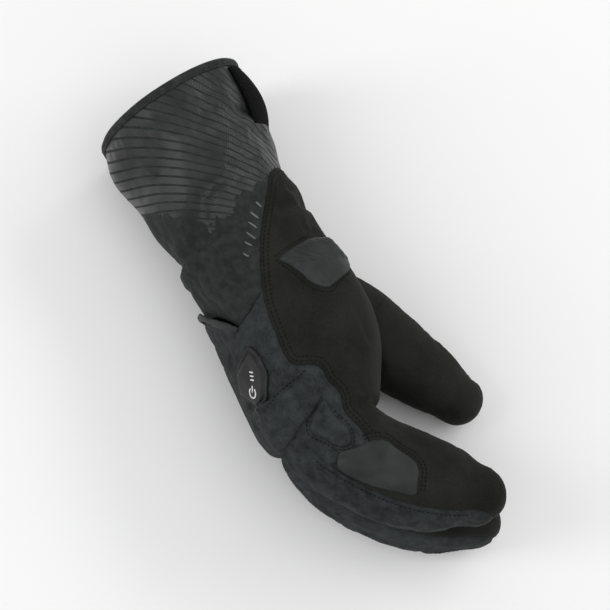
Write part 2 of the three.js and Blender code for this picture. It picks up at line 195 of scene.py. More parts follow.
# Darkest and lightest tones of the cloths and inks whose colours the user doesn't set
TONES = {
    "binding_cloth": ((0.011, 0.0115, 0.012), (0.03, 0.031, 0.032)),
    "webbing": ((0.0022, 0.0022, 0.0024), (0.006, 0.006, 0.0064)),
    "rubber": ((0.011, 0.011, 0.012), (0.02, 0.02, 0.021)),
    "dash_ink": ((0.09, 0.09, 0.092), (0.16, 0.16, 0.163)),
    "pale_ink": ((0.52, 0.52, 0.52), (0.8, 0.8, 0.8)),
    "lining_fleece": ((0.003, 0.003, 0.0033), (0.012, 0.012, 0.013)),
    "pale_floor": ((0.86, 0.86, 0.86), (0.9, 0.9, 0.9)),
}

UP = (0, 0, 1)
# Outlines of the patches: x, y and, where the shell is steep, z
INSERT_OUTLINE = [
    (240.0, -8.0), (241.5, 2.3), (241.4, 11.1), (244.5, 18.0), (252.3, 22.9), (260.7, 27.7),
    (267.9, 28.6), (273.7, 25.3), (279.5, 20.5), (274.0, 12.0), (263.0, -1.0), (249.1, -12.0),
]
PATCH_OUTLINE = [
    (123.3, 9.1), (119.5, 22.0), (117.0, 36.0), (118.5, 51.0), (137.0, 55.5), (143.5, 46.0),
    (148.1, 35.1), (151.6, 28.2), (145.8, 19.8), (131.8, 13.7),
]
PATCH_HEIGHTS = (102, 98, 92, 78, 73, 80, 90, 99, 101, 99)
PATCH_AIM = (0, 0.5, 0.87)
PATCH_EDGE = 3.2
PATCH_CORNER = 4.0
RIB_AIM = (0.82, -0.57)
RIB_HEIGHT = 0.5
# The patch's plain corner: its direction along x and across, and where it starts
FACET = (0.85, -0.1, 114.0)
FACET_DEPTH = 0.9
BAND_AIM = (0, -0.6, 0.8)
BAND_OUTLINE = [
    (192.3, -6.5, 107.3), (197.2, -23.6, 102.7), (200.9, -32.2, 96.3), (201.0, -40.0, 80.0),
    (201.0, -41.5, 58.0), (212.0, -40.0, 55.0), (222.0, -38.0, 58.0), (223.5, -36.0, 76.0),
    (223.9, -29.9, 92.9), (218.4, -21.0, 102.5), (213.0, -11.9, 105.4), (208.3, -4.9, 107.3),
    (200.0, -3.5, 107.3),
]
TAB_OUTLINE = [
    (209.5, -4.0), (218.6, -2.0), (227.8, 1.5), (234.5, 2.0), (238.8, -0.5), (239.0, -4.5),
    (236.0, -9.0), (230.6, -12.8), (222.5, -18.5), (214.5, -12.0),
]
SWITCH_OUTLINE = [
    (161.1, -25.7, 89.8), (171.9, -23.4, 93.6), (181.5, -24.4, 94.2), (195.0, -31.0, 90.9),
    (199.6, -36.0, 84.8), (184.5, -41.5, 68.3), (171.0, -40.5, 74.7),
]
SWITCH_AIM = np.array([0.0, -0.8, 0.6])
SWITCH_CORNER = 3.0
SWITCH_WALL = 1.8
# Lip of the switch cover: height, edge; its groove: depth, distance from the edge, width
COVER_LIP = (2.0, 1.3)
COVER_GROOVE = (1.15, 2.3, 0.55)
MARK_CENTRE = (184.0, -33.5, 84.0)
MARK_ALONG = (-0.89, 0.27, 0.36)
MARK_ACROSS = (0.45, 0.53, 0.71)
# Level bars: place of the first, step, half length, width; power sign: radius, place, width
BAR_START = 4.2
BAR_STEP = 2.3
BAR_REACH = 1.6
BAR_WIDTH = 0.9
RING_RADIUS = 3.0
RING_SHIFT = 3.2
RING_WIDTH = 0.95

MOUTH_LINE = [(POCKET_MIDDLE[0], -90.0), POCKET_MIDDLE, POCKET_CORNER]
MOUTH_REACH = 9
MOUTH_RISE = 2.4
MOUTH_SINK = 3.4
# Stripes of the print: where they meet, degrees from one to the next, and how far the
# print wraps round the cuff before it runs on flat
PIVOT = (220.0, 185.0)
STRIPE_TURN = 0.98
PRINT_TURN = math.radians(62)
PRINT_RADIUS = 46
# End of the print: place round the cuff, distance from the rim
PRINT_END = [(-75, 55), (-46, 60), (-26, 80), (-22, 91), (-10, 88), (4, 82), (18, 77), (40, 70),
             (80, 64)]
# Tapes: width, height, distance above the shell
MOUTH_TAPE = (4.6, 2.4, 1.5)
MOUTH_EDGE = [(150.5, -27.5, 86), (144, -33, 79), (137, -37.5, 68), (129.5, -41, 54),
              (127.5, -42.5, 44), (127.5, -42, 30), (129, -38, 16)]
DASH_TAPE = (1.15, 0.35, 0.12)
DASHES = [
    [(86.2, 11.8, 94.1), (90.4, 14.5, 93.2)], [(90.5, 6.6, 94.1), (96.1, 9.7, 95.2)],
    [(95.7, 2.9, 94.6), (101.6, 5.7, 97.1)], [(100.9, -0.9, 95.7), (107.2, 2.5, 96.2)],
    [(105.7, -4.4, 94.8), (109.8, -1.2, 95.1)], [(111.4, -7.6, 94.5), (115.0, -5.5, 95.0)],
]
RIM_SIDES = 220
# Section of the tape over the rim: distance from the rim, distance outside the cuff's skin
RIM_SECTION = [
    (4.6, -3.2), (3.0, -3.5), (1.0, -3.1), (-0.4, -1.6), (-0.5, 0.1), (0.5, 1.2), (1.8, 1.5),
    (3.0, 1.35), (3.5, 0.85), (4.0, 1.1), (4.6, 1.0), (5.1, 0.3), (5.1, -0.6), (4.9, -1.8),
]
LOOP_X = (6.0, 40.0)
LOOP_Z = (50.0, 84.0)
LOOP_REACH = (5.2, 1.2)
LOOP_THICKNESS = 1.7

# Stitches: sizes in metres, and where the rows on the palm and back begin and end
STITCH_PITCH = 2.6 * MM
STITCH_LENGTH = 1.9 * MM
STITCH_THICKNESS = 0.34 * MM
STITCH_UNEVENNESS = 0.12
STITCH_SEED = 7
PALM_STITCHES = (66, 238)
UNDER_STITCHES = (90, 215)
BACK_STITCHES = (236, 300)
DOUBLE_ROW = (2.0, 4.6)
INSERT_ROWS = (1.8, 4.0)
# Row on the rim's tape: distance from the rim, distance outside the cuff's skin
RIM_ROW = (3.5, 1.15)
# Inputs of the stitches' nodes: label, kind, value
STITCH_INPUTS = (
    ("Geometry", "Geometry", None), ("Pitch", "Float", STITCH_PITCH),
    ("Length", "Float", STITCH_LENGTH), ("Thickness", "Float", STITCH_THICKNESS),
    ("Unevenness", "Float", STITCH_UNEVENNESS), ("Seed", "Int", STITCH_SEED),
    ("Material", "Material", None),
)
# The nodes: name, kind, settings, values of their sockets
STITCH_NODES = (
    ("given", "NodeGroupInput", {}, {}),
    ("result", "NodeGroupOutput", {}, {}),
    ("curve", "GeometryNodeMeshToCurve", {}, {}),
    ("places", "GeometryNodeResampleCurve", {"mode": "LENGTH"}, {}),
    ("bead", "GeometryNodeMeshUVSphere", {}, {"Segments": 6, "Rings": 5, "Radius": 1.0}),
    ("shape", "GeometryNodeTransform", {}, {}),
    ("size", "ShaderNodeCombineXYZ", {}, {}),
    ("half", "ShaderNodeMath", {"operation": "MULTIPLY"}, {1: 0.5}),
    ("run", "GeometryNodeInputTangent", {}, {}),
    ("align", "FunctionNodeAlignRotationToVector", {"axis": "Z"}, {}),
    ("row", "GeometryNodeInstanceOnPoints", {}, {}),
    ("lowest", "ShaderNodeMath", {"operation": "SUBTRACT"}, {0: 1.0}),
    ("highest", "ShaderNodeMath", {"operation": "ADD"}, {0: 1.0}),
    ("uneven", "FunctionNodeRandomValue", {}, {}),
    ("plain", "GeometryNodeRealizeInstances", {}, {}),
    ("paint", "GeometryNodeSetMaterial", {}, {}),
)
# Their links: from a node and its output, to a node and its input
STITCH_LINKS = (
    ("given", "Geometry", "curve", "Mesh"),
    ("curve", "Curve", "places", "Curve"),
    ("given", "Pitch", "places", "Length"),
    ("bead", "Mesh", "shape", "Geometry"),
    ("given", "Length", "half", 0),
    ("given", "Thickness", "size", 0),
    ("given", "Thickness", "size", 1),
    ("half", 0, "size", 2),
    ("size", 0, "shape", "Scale"),
    ("run", 0, "align", "Vector"),
    ("places", "Curve", "row", "Points"),
    ("shape", "Geometry", "row", "Instance"),
    ("align", "Rotation", "row", "Rotation"),
    ("given", "Unevenness", "lowest", 1),
    ("given", "Unevenness", "highest", 1),
    ("lowest", 0, "uneven", 2),
    ("highest", 0, "uneven", 3),
    ("given", "Seed", "uneven", "Seed"),
    ("uneven", 1, "row", "Scale"),
    ("row", "Instances", "plain", "Geometry"),
    ("plain", "Geometry", "paint", "Geometry"),
    ("given", "Material", "paint", "Material"),
    ("paint", "Geometry", "result", "Geometry"),
)

WORLD_LIGHT = 0.62
FLOOR_SIZE = 4
FLOOR_DROP = 0.0004
# Lights: name, power, size, place, aim
LIGHTS = [
    ("key", 9.0, (0.5, 1.3), (-0.5, -1.3, 1.1), (-0.05, 0, 0.05)),
    ("far", 9.0, (1.6, 0.5), (-0.1, 1.4, 1.2), (0, 0, 0)),
    ("over", 9.0, (1.6, 1.6), (0.3, 0.2, 2.2), (0, 0, 0)),
]
CAMERA = {"turn": -0.89945, "tilt": 1.3131, "roll": 1.16064, "distance": 1.09844,
          "lens": 108.18, "aim": (-0.04047, 0.02048, 0.055)}


def table_row(rows, place):
    """A smooth curve through the rows of a table, read at a place in its first column."""
    places = [row[0] for row in rows]
    last = len(rows) - 1
    high = next((n for n in range(1, last + 1) if place < places[n]), last)
    low = high - 1
    before = high if low == 0 else low - 1
    after = low if high == last else high + 1
    place_before = 2 * places[low] - places[high] if low == 0 else places[before]
    place_after = 2 * places[high] - places[low] if high == last else places[after]
    half = (places[high] - places[low]) / 2
    weight_before = half / (places[low] - place_before)
    weight_after = half / (place_after - places[high])
    p = (place - places[low]) / (places[high] - places[low])
    shares = (
        (before, weight_before * (-p**3 + 2 * p**2 - p)),
        (low, (1 + weight_before) * p**3 - (1.5 + 2 * weight_before) * p**2
         + (weight_before - 0.5) * p + 1),
        (high, -(1 + weight_after) * p**3 + (1.5 + weight_after) * p**2 + 0.5 * p),
        (after, weight_after * (p**3 - p**2)),
    )
    return [sum(share * rows[n][k] for n, share in shares) for k in range(1, len(rows[0]))]


def smoothstep(values, low, high):
    t = np.clip((np.asarray(values, float) - low) / (high - low), 0, 1)
    return t * t * (3 - 2 * t)


def round_power(values, power):
    return np.sign(values) * np.abs(values) ** (2 / power)


def body_ring(x, growth, sides):
    """One closed section of the cuff or hand."""
    angle = 2 * math.pi * np.arange(sides) / sides
    hand = x >= WRIST_X
    if hand:
        shift, depth, width, power = table_row(HAND_ROWS, (x - WRIST_X) / HAND_LENGTH)
        shift, depth, width = shift * HAND_DEPTH, depth * HAND_DEPTH, width * HAND_WIDTH
        middle, lowest = MIDDLE_Z, -growth
        along = 1 - smoothstep(x, WRIST_X + 0.4 * HAND_LENGTH, FORK_X - 20)
        swell = 2.6 * along * smoothstep(-np.cos(angle), 0.5, 0.95)
    else:
        shift, depth, width, power = table_row(CUFF_ROWS, x / CUFF_LENGTH)
        shift, depth, width = shift * CUFF_DEPTH, depth * CUFF_DEPTH, width * CUFF_WIDTH
        middle, lowest = CUFF_Z, 1.3 - growth
        swell = 0
    y = shift + round_power(np.cos(angle), power) * (depth / 2 + growth + swell)
    z = middle + round_power(np.sin(angle), power) * (width / 2 + growth + swell)
    slant = 0 if hand else RIM_SLANT * (1 - smoothstep(x, 0, CUFF_LENGTH / 2))
    return np.stack([x - slant * y / CUFF_DEPTH, y, np.maximum(z, lowest)], 1)


def finger_path(rows, start, length, thickness, width):
    """Places along a finger, each x, y, z, heading, half thickness, half width."""
    x = FORK_X + start[0] * HAND_LENGTH
    y = start[1] * HAND_DEPTH
    path = []
    for step in range(FINGER_STEPS + 1):
        degrees, thick, wide, height = table_row(rows, step / FINGER_STEPS)
        heading = math.radians(degrees)
        if step:
            x += math.cos(heading) * length / FINGER_STEPS
            y += math.sin(heading) * length / FINGER_STEPS
        middle = MIDDLE_Z + height * width
        path.append((x, y, middle, heading, thick * thickness / 2, wide * width / 2))
    return path


def finger_ring(at, advance, shrink, growth, sides):
    x, y, z, heading, thick, wide = at
    angle = 2 * math.pi * np.arange(sides) / sides
    across = round_power(np.cos(angle), FINGER_POWER) * (thick + growth) * shrink
    up = round_power(np.sin(angle), FINGER_POWER) * (wide + growth) * shrink
    return np.stack([
        x + math.cos(heading) * advance - math.sin(heading) * across,
        y + math.sin(heading) * advance + math.cos(heading) * across,
        np.maximum(z + up, -growth),
    ], 1)


OUTER_PATH = finger_path(OUTER_ROWS, OUTER_START, OUTER_LENGTH, POUCH_THICKNESS, POUCH_WIDTH)
INNER_PATH = finger_path(INNER_ROWS, INNER_START, INNER_LENGTH, POUCH_THICKNESS, POUCH_WIDTH)
THUMB_PATH = finger_path(THUMB_ROWS, THUMB_START, THUMB_LENGTH, THUMB_THICKNESS, THUMB_WIDTH)


def loft(rings):
    """Points and faces of a closed skin over rings, with a fan at each end."""
    count = len(rings[0])
    points = np.concatenate(rings)
    faces = []
    for row in range(len(rings) - 1):
        for side in range(count):
            near = row * count + side
            beside = row * count + (side + 1) % count
            faces.append((near, beside, beside + count, near + count))
    for row, flip in ((0, True), (len(rings) - 1, False)):
        hub = len(points)
        points = np.vstack([points, rings[row].mean(0)])
        for side in range(count):
            near, beside = row * count + side, row * count + (side + 1) % count
            faces.append((hub, beside, near) if flip else (hub, near, beside))
    return points, faces


def finger_skin(path, growth, sides=48):
    rings = [finger_ring(at, 0, 1, growth, sides) for at in path]
    tip = path[-1]
    for turn in np.linspace(0, 0.48 * math.pi, 9)[1:]:
        rings.append(finger_ring(tip, (tip[4] + growth) * math.sin(turn), math.cos(turn),
                                 growth, sides))
    return loft(rings)


def body_skin(growth, first, sides=120):
    """The cuff and hand in one, ending in a low dome between the pouches."""
    stations = [*np.arange(first, WRIST_X - 5, STATION_STEP),
                *np.arange(WRIST_X + 1, DOME_X, STATION_STEP)]
    rings = [body_ring(x, growth, sides) for x in stations]
    edge = rings[-1]
    middle = np.array([DOME_X, -2, MIDDLE_Z])
    for turn in np.linspace(0, 0.44 * math.pi, 8)[1:]:
        placed = middle + (edge - middle) * math.cos(turn)
        placed[:, 0] += (DOME_REACH + growth) * math.sin(turn)
        rings.append(placed)
    return loft(rings)


def mesh_from(name, points, faces):
    mesh = bpy.data.meshes.new(name)
    mesh.from_pydata([tuple(p) for p in points], [], [tuple(f) for f in faces])
    mesh.update()
    return mesh


def new_object(name, data):
    thing = bpy.data.objects.new(name, data)
    bpy.context.scene.collection.objects.link(thing)
    return thing


def settled(thing):
    """The object's mesh with its modifiers worked out; the object itself is removed."""
    graph = bpy.context.evaluated_depsgraph_get()
    mesh = bpy.data.meshes.new_from_object(thing.evaluated_get(graph))
    old = thing.data
    bpy.data.objects.remove(thing)
    if old.users == 0:
        bpy.data.meshes.remove(old)
    return mesh


def points_of(mesh, key="co"):
    flat = np.empty(len(mesh.vertices) * 3)
    mesh.vertices.foreach_get(key, flat)
    return flat.reshape(-1, 3)


def normals_of(mesh):
    return points_of(mesh, "normal")


def put_points(mesh, points):
    mesh.vertices.foreach_set("co", np.asarray(points, float).ravel())
    mesh.update()


def edge_ends(mesh):
    """Both ends of every edge, and how many edges meet at each point."""
    edges = np.empty(len(mesh.edges) * 2, int)
    mesh.edges.foreach_get("vertices", edges)
    first, second = edges.reshape(-1, 2).T
    return first, second, np.maximum(np.bincount(edges, minlength=len(mesh.vertices)), 1)


def relaxed(mesh, points, rounds, keep=0.53):
    """Evens out the points over their neighbours and keeps the volume."""
    first, second, count = edge_ends(mesh)
    for _ in range(rounds):
        for factor in (0.5, -keep):
            total = np.stack([
                np.bincount(first, points[second, k], len(points))
                + np.bincount(second, points[first, k], len(points)) for k in range(3)
            ], 1)
            points = points + factor * (total / count[:, None] - points)
    return points


def joined(parts):
    """Points and faces of several meshes as one."""
    points, faces, start = [], [], 0
    for part_points, part_faces in parts:
        points.append(part_points)
        faces += [tuple(n + start for n in face) for face in part_faces]
        start += len(part_points)
    return np.concatenate(points), faces


def remeshed(skins, voxel, rounds):
    """One even skin round overlapping closed skins, in millimetres."""
    thing = new_object("form", mesh_from("form", *joined(skins)))
    remesh = thing.modifiers.new("even", "REMESH")
    remesh.mode = "VOXEL"
    remesh.voxel_size = voxel
    mesh = settled(thing)
    put_points(mesh, relaxed(mesh, points_of(mesh), rounds))
    return mesh


def line_distance(points, line):
    """Signed distance in x and y from a line of points, positive on its left."""
    line = np.asarray(line, float)
    best = np.full(len(points), 1e9)
    signed = np.zeros(len(points))
    for start, end in zip(line[:-1], line[1:]):
        run = end - start
        length = max(np.hypot(*run), 1e-9)
        offset = points[:, :2] - start
        along = np.clip(offset @ run / length**2, 0, 1)
        away = offset - along[:, None] * run
        distance = np.hypot(away[:, 0], away[:, 1])
        across = (run[0] * offset[:, 1] - run[1] * offset[:, 0]) / length
        side = np.sign(across)
        rank = distance - 1e-4 * np.abs(across)
        nearer = rank < best
        best = np.where(nearer, rank, best)
        signed = np.where(nearer, side * distance, signed)
    return signed


def curve_through(points, steps=6):
    """A smooth line through its points."""
    points = [np.array(p, float) for p in points]
    ends = [2 * points[0] - points[1], *points, 2 * points[-1] - points[-2]]
    line = []
    for n in range(1, len(ends) - 2):
        a, b, c, d = ends[n - 1:n + 3]
        for t in np.linspace(0, 1, steps, endpoint=False):
            line.append(0.5 * (2 * b + (c - a) * t + (2 * a - 5 * b + 4 * c - d) * t * t
                               + (3 * b - a - 3 * c + d) * t**3))
    line.append(points[-1])
    return np.array(line)


def pouch_seam(path):
    line = []
    for x, y, _, heading, thick, _ in path:
        across = POUCH_SEAM_SHARE * thick
        line.append((x - math.sin(heading) * across, y + math.cos(heading) * across))
    heading = path[-1][3]
    line.append((line[-1][0] + math.cos(heading) * TALL, line[-1][1] + math.sin(heading) * TALL))
    return np.array(line)


SEAM_LINE = curve_through(SIDE_SEAM)
CUFF_EDGE = np.array([
    (POCKET_MIDDLE[0], -TALL), POCKET_MIDDLE, POCKET_CORNER,
    *curve_through(SIDE_SEAM[:SEAM_MEET + 1])[::-1], (SIDE_SEAM[0][0], TALL),
])
OUTER_SEAM = pouch_seam(OUTER_PATH)
INNER_SEAM = pouch_seam(INNER_PATH)

# The shell's surface and its panels, while the steps run
work = {}


def kept(mesh_object, node_names):
    """Says where a finished piece belongs."""
    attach(mesh_object, "root")
    if node_names:
        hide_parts(*node_names)


def to_row(points):
    """Table places in millimetres as places in the frame of the solids, in metres."""
    placed = np.array(points, float)
    placed[:, 0] -= ORIGIN_X
    return placed * MM


def swelled(mesh, stiff):
    """Moves of the points of a coarse skin when its cloth is blown up between its seams."""
    scaled = mesh.copy()
    put_points(scaled, points_of(mesh) * MM)
    thing = new_object("swell", scaled)
    held = thing.vertex_groups.new(name="held")
    for n, weight in enumerate(stiff):
        held.add([n], float(weight), "REPLACE")
    cloth = thing.modifiers.new("cloth", "CLOTH")
    for key, value in CLOTH.items():
        setattr(cloth.settings, key, value)
    cloth.settings.effector_weights.gravity = 0
    cloth.collision_settings.use_collision = False
    scene = bpy.context.scene
    for frame_number in range(1, CLOTH_FRAMES + 1):
        scene.frame_set(frame_number)
    graph = bpy.context.evaluated_depsgraph_get()
    result = bpy.data.meshes.new_from_object(thing.evaluated_get(graph))
    moves = points_of(result) / MM - points_of(mesh)
    scene.frame_set(1)
    bpy.data.objects.remove(thing)
    return moves


def carried_over(coarse_points, moves, fine_points, most):
    """Each fine point takes the mean move of the coarse points next to it."""
    tree = kdtree.KDTree(len(coarse_points))
    for n, point in enumerate(coarse_points):
        tree.insert(point, n)
    tree.balance()
    length = np.linalg.norm(moves, axis=1, keepdims=True)
    moves = moves * np.minimum(1, most / np.maximum(length, 1e-9))
    result = np.zeros_like(fine_points)
    for row, point in enumerate(fine_points):
        found = tree.find_n(point, 4)
        weights = np.array([1 / (distance + 0.2) for _, _, distance in found])
        picked = moves[[n for _, n, _ in found]]
        result[row] = (picked * weights[:, None]).sum(0) / weights.sum()
    return result


def seam_distance(points):
    """Distance from the nearest seam of the shell."""
    cuff = np.abs(line_distance(points, CUFF_EDGE))
    side = np.abs(line_distance(points, SEAM_LINE))
    outer = np.where(points[:, 2] > MIDDLE_Z, np.abs(line_distance(points, OUTER_SEAM)), 99)
    inner = np.where(points[:, 2] < MIDDLE_Z, np.abs(line_distance(points, INNER_SEAM)), 99)
    pouch = np.where(points[:, 0] > FORK_X + 8, np.minimum(outer, inner), 99)
    side = np.where(points[:, 0] > FORK_X + 30, 99, side)
    border = np.where(points[:, 2] > MIDDLE_Z, TAB_X, FORK_X)
    fork = np.where((points[:, 1] > -20) & (points[:, 1] < 12), np.abs(points[:, 0] - border), 99)
    fork = np.where(points[:, 2] > MIDDLE_Z, fork, 99)
    return np.minimum.reduce([cuff, side, pouch, fork])


def side_of_palm(points):
    """Positive on the palm's side of the shell's seams."""
    pouch = np.where(points[:, 2] > MIDDLE_Z, line_distance(points, OUTER_SEAM),
                     line_distance(points, INNER_SEAM))
    border = np.where(points[:, 2] > MIDDLE_Z, TAB_X, FORK_X)
    return np.where(points[:, 0] > border, pouch, line_distance(points, SEAM_LINE))


def cut_along(bm, values):
    """Cuts the mesh where values, one for each of its points, change sign."""
    bm.verts.ensure_lookup_table()
    value = {vert: float(v) for vert, v in zip(bm.verts, values)}
    for edge in list(bm.edges):
        a, b = edge.verts
        va, vb = value[a], value[b]
        if va * vb >= 0:
            continue
        share = va / (va - vb)
        if share < 0.12:
            value[a] = 0.0
        elif share > 0.88:
            value[b] = 0.0
        else:
            _, vert = bmesh.utils.edge_split(edge, a, share)
            value[vert] = 0.0
    for face in list(bm.faces):
        on_line = [vert for vert in face.verts if value[vert] == 0.0]
        if len(on_line) == 2 and not any(
                set(edge.verts) == set(on_line) for edge in face.edges):
            bmesh.utils.face_split(face, on_line[0], on_line[1])


def mesh_arrays(bm):
    bm.verts.index_update()
    points = np.array([vert.co for vert in bm.verts])
    faces = [[vert.index for vert in face.verts] for face in bm.faces]
    return points, faces


def picked_mesh(name, points, faces, keep):
    """A mesh of the faces whose row in keep is true."""
    picked = [face for face, wanted in zip(faces, keep) if wanted]
    used = np.unique(np.concatenate([np.array(face) for face in picked]))
    place = {old: new for new, old in enumerate(used)}
    return mesh_from(name, points[used], [[place[n] for n in face] for face in picked])


def shell_form():
    """The fine skin of the whole glove, padded by a cloth simulation, in table millimetres."""
    skins = [body_skin(0.0, SHELL_START), finger_skin(OUTER_PATH, 0),
             finger_skin(INNER_PATH, INNER_GROWTH), finger_skin(THUMB_PATH, 0)]
    fine = remeshed(skins, FINE_VOXEL, 8)
    points = points_of(fine)
    coarse = remeshed(skins, COARSE_VOXEL, 4)
    places = points_of(coarse)
    distance = seam_distance(places)
    stiff = 1 - LOOSEST * smoothstep(distance, *SEAM_EASE)
    stiff = np.maximum(stiff, 1 - smoothstep(places[:, 0], *RIM_EASE))
    stiff = np.maximum(stiff, 1 - smoothstep(places[:, 2], *FLOOR_EASE))
    moves = swelled(coarse, stiff)
    calm = 1 - THUMB_CALM * smoothstep(thumb_side(points), *THUMB_EASE)
    points = points + calm[:, None] * carried_over(places, moves, points, MOST_SWELL)
    bpy.data.meshes.remove(coarse)
    points[:, 2] = np.maximum(points[:, 2], 0.0)
    put_points(fine, points)
    return fine


def bump_field(points, middle, reach, height):
    """A round swelling of the skin about a place."""
    away = np.linalg.norm((points - np.array(middle)) / np.array(reach), axis=1)
    return height * np.exp(-away**2)


def crease(points, line, depth, width):
    """A fold pressed in along a line in x, y and z."""
    line = curve_through(line)
    best = np.full(len(points), 1e9)
    for start, end in zip(line[:-1], line[1:]):
        run = end - start
        along = np.clip((points - start) @ run / max(run @ run, 1e-9), 0, 1)
        best = np.minimum(best, np.linalg.norm(points - start - along[:, None] * run, axis=1))
    return -depth * np.exp(-(best / width) ** 2)


def folded(points):
    """How far each point of the shell stands out for gathers, folds and pads."""
    x, y, z = points.T
    angle = np.arctan2(z - MIDDLE_Z, y - 3)
    waist = np.exp(-((x - 116 - 6 * np.sin(angle)) / 17) ** 2)
    ripple = sum(share * np.cos(turns * angle + slant * x + start)
                 for turns, slant, start, share in RIPPLES)
    on_cuff = smoothstep(line_distance(points, CUFF_EDGE), -1, 3)
    pleat = np.abs(np.cos(15 * angle + 0.1 * x + 0.6 * np.sin(0.25 * x))) - 0.65
    gather = 0.45 * ripple + 2.2 * pleat * smoothstep(z, 60, 82)
    out = waist * (0.15 + 0.85 * on_cuff) * gather
    cuff = smoothstep(x, 8, 26) * (1 - smoothstep(x, 80, 104))
    slant = 0.46 * x + 0.89 * (0.98 * y + 0.2 * (z - MIDDLE_Z))
    wave = np.cos(0.29 * slant + 1.9) + 0.5 * np.cos(0.17 * slant - 0.03 * x)
    out = out + 0.62 * cuff * wave
    for line, depth, width in FOLDS:
        out = out + crease(points, line, depth, width)
    for middle, reach, height in PADS:
        out = out + bump_field(points, middle, reach, height)
    return out


def seam_press(points, width, depth):
    return -depth * np.exp(-seam_distance(points) / width)


def make_shell():
    """Cuts the shell along its seams and gives each panel of cloth its own mesh."""
    form = shell_form()
    bm = bmesh.new()
    bm.from_mesh(form)
    bpy.data.meshes.remove(form)

    def cut(field):
        cut_along(bm, field(np.array([vert.co for vert in bm.verts])))

    cut(lambda p: np.where(p[:, 0] < CUFF_REACH, line_distance(p, CUFF_EDGE), 1.0))
    cut(lambda p: np.where(p[:, 0] < TAB_X + 4, line_distance(p, SEAM_LINE), 1.0))
    cut(lambda p: np.where(p[:, 2] > MIDDLE_Z - 3, p[:, 0] - TAB_X, 1.0))
    cut(lambda p: np.where((p[:, 0] > FORK_X - 10) & (p[:, 2] > MIDDLE_Z),
                           line_distance(p, OUTER_SEAM), 1.0))
    cut(lambda p: np.where((p[:, 0] > FORK_X - 10) & (p[:, 2] < MIDDLE_Z),
                           line_distance(p, INNER_SEAM), 1.0))
    cut(lambda p: p[:, 0] - FORK_X)
    cut(lambda p: np.where(p[:, 0] > FORK_X - 4, p[:, 2] - MIDDLE_Z, 1.0))
    cut(thumb_side)
    cut(lambda p: p[:, 0] + RIM_SLANT * p[:, 1] / CUFF_DEPTH - RIM_EDGE)
    bm.normal_update()
    points, faces = mesh_arrays(bm)
    normals = np.array([vert.normal for vert in bm.verts])
    bm.free()
    lift = folded(points) + seam_press(points, SEAM_WIDTH, SEAM_DEPTH)
    lift = np.where(points[:, 2] < 1.0, np.minimum(lift, 0), lift)
    middle = np.array([points[face].mean(0) for face in faces])
    points = points + normals * lift[:, None]
    points[:, 2] = np.maximum(points[:, 2], 0.0)

    past_rim = middle[:, 0] + RIM_SLANT * middle[:, 1] / CUFF_DEPTH > RIM_EDGE
    on_thumb = thumb_side(middle) > 0
    in_cuff = (line_distance(middle, CUFF_EDGE) > 0) & (middle[:, 0] < CUFF_REACH) & ~on_thumb
    in_palm = (side_of_palm(middle) > 0) & ~in_cuff & ~on_thumb
    in_fingers = (middle[:, 0] > FORK_X) & ~in_palm & ~on_thumb & ~in_cuff
    in_back = ~in_cuff & ~in_palm & ~on_thumb & ~in_fingers
    panels = {
        "cuff_shell": in_cuff & past_rim,
        "palm_suede": in_palm,
        "thumb_suede": on_thumb,
        "hand_back": in_back,
        "outer_finger_back": in_fingers & (middle[:, 2] >= MIDDLE_Z),
        "inner_finger_back": in_fingers & (middle[:, 2] < MIDDLE_Z),
    }
    work["surface"] = BVHTree.FromPolygons([tuple(p) for p in points], faces)
    for name, keep in panels.items():
        work[name] = picked_mesh(name, points, faces, keep)
        drop_crumbs(work[name])


def drop_crumbs(mesh, smallest=60):
    """Removes loose crumbs that a cut left beside its panel."""
    bm = bmesh.new()
    bm.from_mesh(mesh)
    seen = set()
    for start in list(bm.verts):
        if start in seen:
            continue
        group, queue = [], [start]
        seen.add(start)
        while queue:
            vert = queue.pop()
            group.append(vert)
            for edge in vert.link_edges:
                other = edge.other_vert(vert)
                if other not in seen:
                    seen.add(other)
                    queue.append(other)
        if len(group) < smallest:
            bmesh.ops.delete(bm, geom=group, context="VERTS")
    bm.to_mesh(mesh)
    bm.free()


def thumb_side(points):
    """Positive on the thumb, past the seam at its root."""
    at = THUMB_PATH[THUMB_SEAM_STEP]
    along = np.array([math.cos(THUMB_SEAM_TURN), math.sin(THUMB_SEAM_TURN)])
    past = (points[:, :2] - np.array([at[0] + 6, at[1] + 4])) @ along
    near = np.full(len(points), 1e9)
    for x, y, _, _, thick, _ in THUMB_PATH[12::3]:
        near = np.minimum(near, np.hypot(points[:, 0] - x, points[:, 1] - y) - thick - 4)
    return np.minimum(past, -np.maximum(near, np.where(points[:, 2] > THUMB_TOP, 9.0, -9.0)))


class Number:
    """A shader socket that takes part in sums like a number."""

    def __init__(self, finish, socket):
        self.finish = finish
        self.socket = socket

    def _math(self, operation, *others):
        return self.finish.add("ShaderNodeMath", {"operation": operation}, self, *others)

    def __add__(self, other):
        return self._math("ADD", other)

    def __sub__(self, other):
        return self._math("SUBTRACT", other)

    def __mul__(self, other):
        return self._math("MULTIPLY", other)

    def __rsub__(self, other):
        return self.finish.add("ShaderNodeMath", {"operation": "SUBTRACT"}, other, self)

    __radd__ = __add__
    __rmul__ = __mul__

    def sine(self):
        return self._math("SINE")

    def fraction(self):
        return self._math("FRACT")

    def size(self):
        return self._math("ABSOLUTE")

    def clipped(self):
        return self.finish.add("ShaderNodeMath", {"operation": "ADD", "use_clamp": True}, self, 0.0)

    def step(self, low, high):
        """0 below low, 1 above high, smooth between."""
        return self.finish.add("ShaderNodeMapRange", {"interpolation_type": "SMOOTHSTEP"},
                               self, low, high, 0.0, 1.0)


